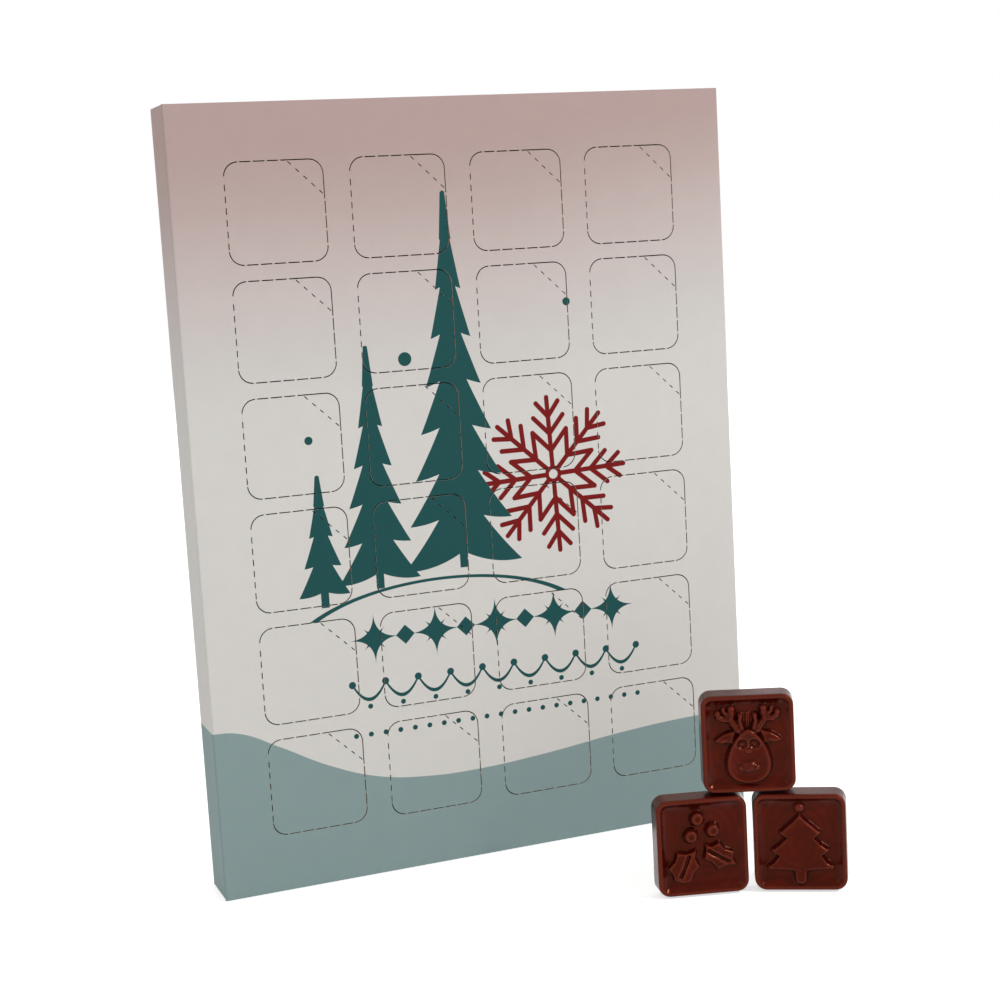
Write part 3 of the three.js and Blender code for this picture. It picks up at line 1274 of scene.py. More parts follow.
@dataclass
class Carton:
    """The glued carton: its sleeve, dust flaps and end flaps."""

    finishes: Finishes
    sizes: CartonSizes = CartonSizes()
    overrun: float = 2.0

    def window_tool(self) -> bpy.types.Object:
        """The shape that cuts the windows and leaves half of each hinge's uncut stretches.

        Returns:
            The tool as one object.
        """
        sizes = self.sizes
        openings, bridges = bmesh.new(), bmesh.new()
        low, high = sizes.front - sizes.board - self.overrun, sizes.front + self.overrun
        for window in sizes.windows():
            known = set(openings.verts)
            Bench.rounded_plate(
                openings, (sizes.window,) * 2, sizes.window_radius, low, high
            )
            added = [vert for vert in openings.verts if vert not in known]
            bmesh.ops.translate(openings, vec=(window.x, window.y, 0), verts=added)
            left = window.x - sizes.window / 2
            for start, end in sizes.bridge_spans():
                right = left + sizes.hinge_inset - sizes.seam
                Bench.box(
                    bridges,
                    (left - self.overrun, window.y + start, low - self.overrun),
                    (right, window.y + end, high + self.overrun),
                )
        plain = (self.finishes[Slot.PLAIN_BOARD],)
        tool = Bench.from_bmesh("window_tool", openings, plain)
        teeth = Bench.from_bmesh("bridge_tool", bridges, plain)
        return Bench.combine(tool, teeth)

    def tube(
        self, name: str, size: Point3, radius: float, slot: Slot
    ) -> bpy.types.Object:
        """A block with its four upright edges rounded.

        Args:
            name: the object's name.
            size: its width, height and depth.
            radius: the radius of the edges.
            slot: the finish of its faces.

        Returns:
            The block, with its bottom at the carton's, or below it by half of what it is
            taller than the carton.
        """
        width, height, depth = size
        middle = self.sizes.height / 2
        bm = bmesh.new()
        Bench.box(
            bm,
            (-width / 2, middle - height / 2, -depth / 2),
            (width / 2, middle + height / 2, depth / 2),
        )
        upright = [edge for edge in bm.edges if Bench.rise(edge) > height / 2]
        Bench.round_edges(bm, upright, radius, self.sizes.fold_steps)
        return Bench.from_bmesh(name, bm, (self.finishes[slot],))

    def sleeve(self) -> bpy.types.Object:
        """The folded sleeve: front, sides and back in one sheet of board.

        Returns:
            The piece.
        """
        sizes = self.sizes
        outer = (sizes.width, sizes.height, sizes.depth)
        walls = 2 * sizes.board
        inner = (
            sizes.width - walls,
            sizes.height + 2 * self.overrun,
            sizes.depth - walls,
        )
        sleeve = self.tube("carton_sleeve", outer, sizes.fold_radius, Slot.PRINTED_BOARD)
        hollow = self.tube(
            "hollow", inner, sizes.fold_radius - sizes.board, Slot.PLAIN_BOARD
        )
        for tool in (hollow, self.window_tool(), self.end_notches()):
            Bench.combine(sleeve, tool)
        nodes = ("front_panel", "back_panel", "left_side_wall", "right_side_wall")
        return finish_piece(sleeve, ROOT_BODY, nodes)

    def end_notches(self) -> bpy.types.Object:
        """The shape that shortens the side walls where their dust flaps fold in.

        Returns:
            The tool as one object.
        """
        sizes = self.sizes
        half = sizes.width / 2
        deep = sizes.front - sizes.step
        ends = (
            (-self.overrun, sizes.step),
            (sizes.height - sizes.step, sizes.height + self.overrun),
        )
        bm = bmesh.new()
        for side, (low, high) in product(Side, ends):
            reach = (half - 2 * sizes.step, half + self.overrun)
            left, right = sorted(side.value * place for place in reach)
            Bench.box(bm, (left, low, -deep), (right, high, deep))
        return Bench.from_bmesh("notches", bm, (self.finishes[Slot.PLAIN_BOARD],))

    def dust_flap(self, side: Side, end: End) -> bpy.types.Object:
        """A flap that folds in from an end of a side wall.

        Args:
            side: the wall.
            end: the end.

        Returns:
            The piece.
        """
        sizes = self.sizes
        deep = sizes.front - sizes.step
        fold = side.value * (sizes.width / 2 - sizes.board)
        tip = side.value * (sizes.width / 2 - sizes.dust_flap)
        outside = sizes.height - sizes.step if end is End.TOP else sizes.step
        inside = outside - end.value * sizes.board
        spans = ((fold, tip), (outside, inside), (-deep, deep))
        bm = bmesh.new()
        Bench.box(bm, *zip(*map(sorted, spans)))
        outer = [vert for vert in bm.verts if abs(vert.co.x - tip) < sizes.board]
        corners = [
            edge for edge in Bench.ring(bm, outer) if Bench.rise(edge) > sizes.board / 2
        ]
        Bench.round_edges(bm, corners, sizes.flap_corner, sizes.flap_corner_steps)
        name = f"dust_flap_{side.name}_{end.name}".lower()
        flap = Bench.from_bmesh(name, bm, (self.finishes[Slot.PLAIN_BOARD],))
        return finish_piece(flap, ROOT_BODY)

    def end_flap(self, end: End) -> bpy.types.Object:
        """An end flap, folded round at its back into a tuck lip behind the back panel.

        Args:
            end: the end that it closes.

        Returns:
            The piece.
        """
        sizes = self.sizes
        half = sizes.width / 2 - sizes.step
        deep = sizes.front - sizes.step
        outer = sizes.height / 2
        lip = outer - sizes.board - sizes.tuck_lip
        bm, inside = bmesh.new(), bmesh.new()
        Bench.box(bm, (-half, lip, -deep), (half, outer, sizes.front - sizes.board))
        Bench.box(
            inside,
            (-half - self.overrun, lip - self.overrun, -deep + sizes.board),
            (half + self.overrun, outer - sizes.board, sizes.front + self.overrun),
        )
        for shape, radius in (
            (bm, sizes.fold_radius),
            (inside, sizes.fold_radius - sizes.board),
        ):
            above = outer - sizes.tuck_lip
            fold = [vert for vert in shape.verts if vert.co.y > above and vert.co.z < 0]
            Bench.round_edges(shape, Bench.ring(shape, fold), radius, sizes.fold_steps)
        name = f"{end.name}_end_flap".lower()
        printed, plain = (
            (self.finishes[slot],) for slot in (Slot.PRINTED_BOARD, Slot.PLAIN_BOARD)
        )
        flap = Bench.from_bmesh(f"{name}_folded", bm, printed)
        Bench.combine(flap, Bench.from_bmesh("flap_inside", inside, plain))
        if end is End.BOTTOM:
            flap.data.transform(Matrix.Scale(-1, 4, (0, 1, 0)))
            flap.data.flip_normals()
        place = Matrix.Translation((0, sizes.height / 2, 0))
        return finish_piece(flap, ROOT_BODY, (name,), place)

    def build(self) -> None:
        """Makes the carton's pieces."""
        self.sleeve()
        for side, end in product(Side, End):
            self.dust_flap(side, end)
        for end in End:
            self.end_flap(end)


# Doors


@dataclass
class Doors:
    """The 24 doors, each still held by the uncut stretches round it."""

    finishes: Finishes
    sizes: CartonSizes = CartonSizes()
    cut: float = 0.4
    nick_length: float = 0.8
    nick_clearance: float = 0.03
    top_nicks: tuple[float, ...] = (5.6, 10.4, 15.3, 20.1)
    bottom_nicks: tuple[float, ...] = (5.6, 10.5, 15.4, 20.3, 25.2, 30.1)
    right_nicks: tuple[float, ...] = (14.4, 19.5, 24.6, 29.7)
    thumb_start: Point2 = (22.2, 0.0)
    thumb_end: Point2 = (35.6, 12.9)
    thumb_dashes: int = 5
    thumb_dash: float = 1.7
    thumb_cut: float = 0.36
    facing: float = 0.5

    def nick_boxes(self, bm: bmesh.types.BMesh) -> None:
        """Adds the uncut stretches to a bmesh, about the window's middle.

        Args:
            bm: the bmesh to add to.
        """
        sizes = self.sizes
        half = sizes.window / 2
        inner = half - self.cut - sizes.board
        outer = half - self.nick_clearance
        low, high = sizes.front - sizes.board, sizes.front
        reach = self.nick_length / 2
        rows = ((self.top_nicks, inner, outer), (self.bottom_nicks, -outer, -inner))
        for places, below, above in rows:
            for x in (place - half for place in places):
                Bench.box(bm, (x - reach, below, low), (x + reach, above, high))
        for place in self.right_nicks:
            y = half - place
            Bench.box(bm, (inner, y - reach, low), (outer, y + reach, high))
        for start, end in sizes.bridge_spans():
            hinge = -half + sizes.hinge_inset + sizes.seam
            Bench.box(bm, (hinge, start, low), (-inner, end, high))

    def thumb_slots(self) -> bpy.types.Object:
        """The short cuts across the corner that a thumb pushes in.

        Returns:
            The tool as one object.
        """
        sizes = self.sizes
        half = sizes.window / 2
        start = Vector((self.thumb_start[0] - half, half - self.thumb_start[1], 0))
        end = Vector((self.thumb_end[0] - half, half - self.thumb_end[1], 0))
        run = end - start
        turn = math.atan2(run.y, run.x)
        spacing = run.length / self.thumb_dashes
        low = sizes.front - 2 * sizes.board
        high = sizes.front + sizes.board
        bm = bmesh.new()
        for index in range(self.thumb_dashes):
            middle = start + run.normalized() * spacing * (index + 0.5)
            verts = Bench.box(
                bm,
                (-self.thumb_dash / 2, -self.thumb_cut / 2, low),
                (self.thumb_dash / 2, self.thumb_cut / 2, high),
            )
            matrix = Matrix.Rotation(turn, 3, "Z")
            bmesh.ops.rotate(bm, cent=(0, 0, 0), matrix=matrix, verts=verts)
            bmesh.ops.translate(bm, vec=middle, verts=verts)
        return Bench.from_bmesh("thumb_tool", bm, (self.finishes[Slot.PLAIN_BOARD],))

    def leaf(self) -> bpy.types.Object:
        """One door about its window's middle.

        Returns:
            The door's leaf.
        """
        sizes = self.sizes
        slots = (Slot.PLAIN_BOARD, Slot.PRINTED_BOARD)
        plain, printed = (self.finishes[slot] for slot in slots)
        bm, nicks = bmesh.new(), bmesh.new()
        side = sizes.window - 2 * self.cut
        radius = sizes.window_radius - self.cut
        low, high = sizes.front - sizes.board, sizes.front
        Bench.rounded_plate(bm, (side, side), radius, low, high)
        self.nick_boxes(nicks)
        leaf = Bench.from_bmesh("leaf", bm, (plain, printed))
        stubs = Bench.from_bmesh("nicks", nicks, (plain,))
        Bench.combine(leaf, stubs, Joining.UNION)
        Bench.combine(leaf, self.thumb_slots())
        for polygon in leaf.data.polygons:
            polygon.material_index = int(polygon.normal.z > self.facing)
        return leaf

    def build(self) -> None:
        """Makes the doors, each from its own copy of the leaf."""
        leaf = self.leaf()
        for window in self.sizes.windows():
            node = f"door_{window.label}"
            door = Bench.new(f"{node}_leaf", leaf.data.copy())
            place = Matrix.Translation((window.x, window.y, 0))
            finish_piece(door, node, (node,), place)
        bpy.data.objects.remove(leaf)


# Tray


@dataclass
class PocketTray:
    """The formed tray: a flange with a pocket behind each door, and a skirt round it."""

    finishes: Finishes
    sizes: CartonSizes = CartonSizes()
    wall: float = 0.5
    side_gap: float = 0.8
    end_gap: float = 1.4
    front: float = 9.2
    back: float = -8.6
    corner_radius: float = 4.0
    pocket: Point2 = (34.4, 37.0)
    pocket_radius: float = 4.6
    pocket_floor: float = -0.21
    pocket_draft: float = 0.5
    pocket_steps: int = 6
    floor_radius: float = 1.3
    floor_steps: int = 3
    mouth_radius: float = 0.5
    mouth_steps: int = 2
    sharpest: float = math.radians(40)
    weld: float = 0.001
    play: float = 0.01

    def pockets(self) -> bpy.types.Object:
        """The shape that presses the pockets.

        Returns:
            The tool as one object.
        """
        bm = bmesh.new()
        over = self.wall
        depth = self.front - self.pocket_floor
        grow = 2 * self.pocket_draft * over / depth
        mouth = tuple(side + grow for side in self.pocket)
        shrink = self.pocket_draft * (depth + over) / depth
        for window in self.sizes.windows():
            known = set(bm.verts)
            _, floor = Bench.rounded_plate(
                bm,
                mouth,
                self.pocket_radius,
                -self.front - over,
                -self.pocket_floor,
                shrink,
                segments=self.pocket_steps,
            )
            loop = Bench.ring(bm, floor)
            Bench.round_edges(bm, loop, self.floor_radius, self.floor_steps)
            added = [vert for vert in bm.verts if vert not in known]
            turned = Matrix.Rotation(math.pi, 3, "Y")
            bmesh.ops.rotate(bm, cent=(0, 0, 0), matrix=turned, verts=added)
            bmesh.ops.translate(bm, vec=(window.x, window.y, 0), verts=added)
        return Bench.from_bmesh("pocket_tool", bm, (self.finishes[Slot.FORMED_TRAY],))

    def build(self) -> bpy.types.Object:
        """Makes the tray: the skin of a block with pockets pressed in, then its thickness.

        Returns:
            The piece.
        """
        sizes = self.sizes
        width = sizes.width - 2 * self.side_gap
        height = sizes.height - 2 * self.end_gap
        bm = bmesh.new()
        Bench.rounded_plate(
            bm, (width, height), self.corner_radius, self.back, self.front
        )
        bmesh.ops.translate(bm, vec=(0, sizes.height / 2, 0), verts=bm.verts[:])
        tray = Bench.from_bmesh("formed_tray", bm, (self.finishes[Slot.FORMED_TRAY],))
        Bench.combine(tray, self.pockets())
        skin = bmesh.new()
        skin.from_mesh(tray.data)
        bmesh.ops.remove_doubles(skin, verts=skin.verts[:], dist=self.weld)
        behind = [
            face
            for face in skin.faces
            if all(abs(vert.co.z - self.back) < self.play for vert in face.verts)
        ]
        bmesh.ops.delete(skin, geom=behind, context="FACES")
        sharp = [
            edge
            for edge in skin.edges
            if len(edge.link_faces) == 2 and edge.calc_face_angle() > self.sharpest
        ]
        Bench.round_edges(skin, sharp, self.mouth_radius, self.mouth_steps, clamped=True)
        skin.to_mesh(tray.data)
        skin.free()
        thickness = tray.modifiers.new("wall", "SOLIDIFY")
        thickness.thickness = self.wall
        thickness.offset = -1.0
        thickness.use_even_offset = True
        Bench.apply(tray)
        return finish_piece(tray, ROOT_BODY, ("chocolate_tray",))


# Chocolates


class Motif(Enum):
    """The three figures of the set."""

    REINDEER = "reindeer"
    HOLLY = "holly"
    TREE = "tree"


def on_side(side: Side, *points: Point2) -> Points:
    """Some points of the right side, or their mirror images on the left."""
    return tuple((side.value * x, y) for x, y in points)


@dataclass(frozen=True)
class Dome:
    """Half an ellipsoid on a chocolate's face, turned by degrees."""

    middle: Point2
    radii: Point2
    height: float
    base: float = 0.0
    turn: float = 0.0

    def on(self, side: Side) -> Dome:
        """This dome of the right side, or its mirror image on the left."""
        (middle,) = on_side(side, self.middle)
        return replace(self, middle=middle, turn=side.value * self.turn)


@dataclass(frozen=True)
class Rod:
    """A round bar along a chocolate's face, through some points, with round ends."""

    points: Points
    radius: float
    height: float

    def on(self, side: Side) -> Rod:
        """This bar of the right side, or its mirror image on the left."""
        return replace(self, points=on_side(side, *self.points))


@dataclass(frozen=True)
class Slab:
    """A raised outline with leaning sides, a rounded upper edge and perhaps a crown."""

    height: float
    lean: float
    edge: float
    crown: float = 0.0
    outline: Points = ()

    def on(self, side: Side) -> Slab:
        """This slab of the right side, or its mirror image on the left."""
        return replace(self, outline=on_side(side, *self.outline))


@dataclass(frozen=True)
class Dent:
    """A soft dimple or groove pressed into a chocolate's face."""

    start: Point2
    end: Point2
    half_width: float
    depth: float
    steepness: float = 2.0

    def on(self, side: Side) -> Dent:
        """This dent of the right side, or its mirror image on the left."""
        start, end = on_side(side, self.start, self.end)
        return replace(self, start=start, end=end)

    def depth_at(self, places: np.ndarray) -> np.ndarray:
        """How deep the dent is at each of many points.

        Args:
            places: the points' x and y, one row each.

        Returns:
            The depths in millimetres.
        """
        start, run = np.array(self.start), np.subtract(self.end, self.start)
        offset = places - start
        length = float(run @ run)
        share = np.clip(offset @ run / length, 0, 1) if length else np.zeros(len(places))
        distance = np.linalg.norm(offset - share[:, None] * run, axis=1)
        return self.depth * np.exp(-((distance / self.half_width) ** self.steepness))


@dataclass
class Relief:
    """The raised figure of one chocolate, made of solids that are fused later."""

    EDGE_STEPS: ClassVar[int] = 4
    DOME_STEPS: ClassVar[tuple[int, int]] = (24, 14)
    ROD_STEPS: ClassVar[tuple[int, int]] = (16, 8)
    ROD_MIDDLE: ClassVar[float] = 0.1

    floor: float
    root: float = 1.0
    bm: bmesh.types.BMesh = field(default_factory=bmesh.new)
    dents: list[Dent] = field(default_factory=list)

    def ball(
        self, steps: tuple[int, int], radii: Point2, height: float
    ) -> list[bmesh.types.BMVert]:
        """Adds an ellipsoid about the origin.

        Args:
            steps: number of faces round it and from pole to pole.
            radii: its half-length and half-width.
            height: its half-height.

        Returns:
            Its vertices.
        """
        across, up = steps
        verts = bmesh.ops.create_uvsphere(
            self.bm, u_segments=across, v_segments=up, radius=1.0
        )["verts"]
        bmesh.ops.scale(self.bm, vec=(*radii, height), verts=verts)
        return verts

    def lay(self, verts: list[bmesh.types.BMVert], turn: float, place: Point3) -> None:
        """Turns a solid about the z axis and moves it to its place.

        Args:
            verts: its vertices.
            turn: the angle in radians.
            place: how far it moves.
        """
        matrix = Matrix.Rotation(turn, 3, "Z")
        bmesh.ops.rotate(self.bm, cent=(0, 0, 0), matrix=matrix, verts=verts)
        bmesh.ops.translate(self.bm, vec=place, verts=verts)

    def dome(self, dome: Dome) -> None:
        """Adds a dome, with the other half of its ellipsoid sunk."""
        verts = self.ball(self.DOME_STEPS, dome.radii, dome.height)
        self.lay(verts, math.radians(dome.turn), (*dome.middle, self.floor + dome.base))

    def rod(self, rod: Rod) -> None:
        """Adds a bar along the floor.

        Args:
            rod: the bar.
        """
        for start, end in zip(rod.points, rod.points[1:]):
            run = Vector((end[0] - start[0], end[1] - start[1]))
            verts = self.ball(self.ROD_STEPS, (rod.radius, rod.radius), rod.height)
            middle = rod.radius * self.ROD_MIDDLE
            ahead = [vert for vert in verts if vert.co.x > middle]
            bmesh.ops.translate(self.bm, vec=(run.length, 0, 0), verts=ahead)
            self.lay(verts, math.atan2(run.y, run.x), (*start, self.floor))

    def slab(self, slab: Slab) -> None:
        """Adds a slab, whatever way round its outline runs.

        Args:
            slab: the slab.
        """
        outline = slab.outline
        area = sum(
            a[0] * b[1] - b[0] * a[1] for a, b in zip(outline, (*outline[1:], outline[0]))
        )
        ordered = outline if area > 0 else outline[::-1]
        ring = [self.bm.verts.new((x, y, self.floor - self.root)) for x, y in ordered]
        foot = self.bm.faces.new(ring)
        raised = bmesh.ops.extrude_face_region(self.bm, geom=[foot], use_keep_orig=True)
        top = [item for item in raised["geom"] if isinstance(item, bmesh.types.BMFace)]
        verts = [vert for face in top for vert in face.verts]
        bmesh.ops.translate(self.bm, vec=(0, 0, self.root), verts=verts)
        edge = slab.edge
        steps = [(slab.lean, slab.height - edge - slab.crown)]
        for step in range(self.EDGE_STEPS):
            start, end = (math.pi / 2 * (step + i) / self.EDGE_STEPS for i in (0, 1))
            inward = edge * (math.cos(start) - math.cos(end))
            steps.append((inward, edge * (math.sin(end) - math.sin(start))))
        for inward, upward in steps:
            for face in top:
                face.normal_update()
            bmesh.ops.inset_region(
                self.bm, faces=top, thickness=inward, depth=upward, use_even_offset=True
            )
        if slab.crown:
            bmesh.ops.poke(self.bm, faces=top, offset=slab.crown)


@dataclass(frozen=True)
class ReindeerHead:
    """A reindeer's head, seen from the front, in millimetres from the face's middle."""

    head_middle: float = -4.4
    head_radii: Point2 = (7.4, 10.4)
    cheek: float = 0.6
    narrowing: float = 0.34
    sides: int = 40
    head: Slab = Slab(height=2.8, lean=0.8, edge=1.0)
    muzzle: Dome = Dome((0.0, -8.2), (2.9, 2.2), height=1.95, base=2.1)
    nostril: Dome = Dome((2.5, -8.5), (1.3, 1.2), height=1.5, base=2.2)
    bridge: Dome = Dome((0.0, -2.6), (1.3, 0.8), height=0.6, base=2.7)
    hollow: Dent = Dent((0.0, -3.2), (0.0, -8.6), half_width=5.4, depth=1.25, steepness=5.0)
    eye: Dome = Dome((2.1, -0.4), (0.95, 0.9), height=1.2, base=2.2)
    socket: Dent = Dent((2.0, -0.1), (2.2, -0.1), half_width=1.6, depth=0.9, steepness=5.0)
    ear: Slab = Slab(
        height=2.2,
        lean=0.4,
        edge=0.9,
        outline=(
            (3.6, 5.0), (5.6, 4.9), (8.2, 4.1), (10.4, 2.8), (12.4, 1.1), (10.6, 0.3),
            (8.4, -0.2), (5.2, 0.0),
        ),
    )
    ear_fold: Dome = Dome((8.3, 1.5), (1.9, 0.8), height=0.45, base=2.1, turn=-18.0)
    antler: tuple[Rod, ...] = (
        Rod(((3.3, 5.0), (4.7, 7.0), (5.9, 8.8)), radius=1.7, height=2.7),
        Rod(((5.9, 8.8), (5.5, 10.8), (5.5, 12.2)), radius=1.65, height=2.8),
        Rod(((5.9, 8.8), (8.2, 8.8), (9.7, 9.7), (10.1, 10.7)), radius=1.45, height=2.7),
        Rod(((6.5, 10.0), (8.0, 11.4), (8.2, 12.4)), radius=0.95, height=2.4),
        Rod(((2.1, 5.6), (2.7, 8.2), (2.5, 9.9)), radius=1.1, height=2.7),
    )
    tuft: Dome = Dome((0.0, 8.4), (1.6, 2.7), height=1.4)
    partings: tuple[Dent, ...] = tuple(
        Dent((x, 6.8), (x, 10.2), half_width=0.26, depth=0.55) for x in (-0.75, 0.0, 0.75)
    )

    def carve(self, relief: Relief) -> None:
        """Adds the head to a relief.

        Args:
            relief: the relief.
        """
        relief.slab(replace(self.head, outline=self.outline()))
        relief.dome(self.muzzle)
        relief.dome(self.bridge)
        relief.dents.append(self.hollow)
        for side in Side:
            relief.dome(self.eye.on(side))
            relief.dents.append(self.socket.on(side))
            relief.dome(self.nostril.on(side))
            relief.slab(self.ear.on(side))
            relief.dome(self.ear_fold.on(side))
            for limb in self.antler:
                relief.rod(limb.on(side))
        relief.dome(self.tuft)
        relief.dents.extend(self.partings)

    def outline(self) -> Points:
        """The head's outline, broad at the muzzle and narrow at the brow.

        Returns:
            Its corners.
        """
        half_width, half_height = self.head_radii
        outline = []
        for step in range(self.sides):
            angle = 2 * math.pi * step / self.sides
            across, up = math.cos(angle), math.sin(angle)
            broad = half_width * (1 - self.narrowing * up) + self.cheek
            outline.append((broad * across, self.head_middle + half_height * up))
        return tuple(outline)


@dataclass(frozen=True)
class HollySprig:
    """Three holly berries and two leaves, in millimetres from the face's middle."""

    berries: Points = ((-1.6, 10.1), (3.7, 5.6), (-4.0, 4.0))
    berry_radius: float = 2.85
    sides: int = 20
    berry: Slab = Slab(height=2.8, lean=0.75, edge=0.75)
    dimple_half_width: float = 0.75
    dimple_depth: float = 0.35
    leaf: Slab = Slab(height=2.85, lean=0.5, edge=0.5, crown=0.5)
    right_leaf: Points = (
        (0.7, 0.9), (3.1, 0.3), (5.9, 1.5), (7.9, -0.9), (11.4, -2.4), (10.9, -5.0),
        (12.3, -7.9), (8.4, -7.5), (5.0, -8.9), (2.8, -6.2), (-0.1, -4.6), (0.7, -1.8),
    )
    lower_leaf: Points = (
        (-9.2, -1.2), (-5.6, -1.8), (-1.8, -0.6), (-2.4, -3.9), (-0.9, -7.1),
        (-3.2, -9.2), (-4.3, -12.5), (-7.4, -12.9), (-10.6, -11.7), (-11.2, -9.2),
        (-13.0, -7.0), (-10.3, -4.4),
    )
    ribs: tuple[Dent, ...] = (
        Dent((2.0, -1.6), (8.8, -5.8), half_width=0.65, depth=1.1),
        Dent((-4.9, -3.2), (-8.0, -10.2), half_width=0.65, depth=1.1),
    )

    def carve(self, relief: Relief) -> None:
        """Adds the sprig to a relief.

        Args:
            relief: the relief.
        """
        radius = self.berry_radius
        turns = [2 * math.pi * step / self.sides for step in range(self.sides)]
        for x, y in self.berries:
            ring = tuple(
                (x + radius * math.cos(turn), y + radius * math.sin(turn)) for turn in turns
            )
            relief.slab(replace(self.berry, outline=ring))
            dimple = Dent((x, y), (x, y), self.dimple_half_width, self.dimple_depth)
            relief.dents.append(dimple)
        for outline in (self.right_leaf, self.lower_leaf):
            relief.slab(replace(self.leaf, outline=outline))
        relief.dents.extend(self.ribs)


@dataclass(frozen=True)
class FirTree:
    """A fir tree with a ball on its tip, in millimetres from the face's middle."""

    tip: Point2 = (0.0, 10.8)
    right: Points = (
        (3.1, 7.7), (7.4, 3.9), (7.2, 2.6), (5.6, 1.6), (7.4, -0.2), (10.0, -2.2),
        (10.1, -3.6), (7.9, -4.7), (9.4, -6.6), (11.7, -8.2), (11.6, -9.6), (6.5, -10.2),
        (2.7, -10.6), (2.5, -14.0), (1.2, -15.2),
    )
    body: Slab = Slab(height=2.7, lean=0.7, edge=0.7)
    bough_ends: tuple[Dome, ...] = tuple(
        Dome(middle, (1.2, 1.0), height=2.7, turn=-30.0)
        for middle in ((6.1, 3.4), (8.9, -2.8), (10.4, -8.7))
    )
    ball: Dome = Dome((0.0, 12.3), (2.1, 2.0), height=2.75)

    def carve(self, relief: Relief) -> None:
        """Adds the tree to a relief.

        Args:
            relief: the relief.
        """
        left = on_side(Side.LEFT, *reversed(self.right))
        relief.slab(replace(self.body, outline=(self.tip, *self.right, *left)))
        for bough_end, side in product(self.bough_ends, Side):
            relief.dome(bough_end.on(side))
        relief.dome(self.ball)


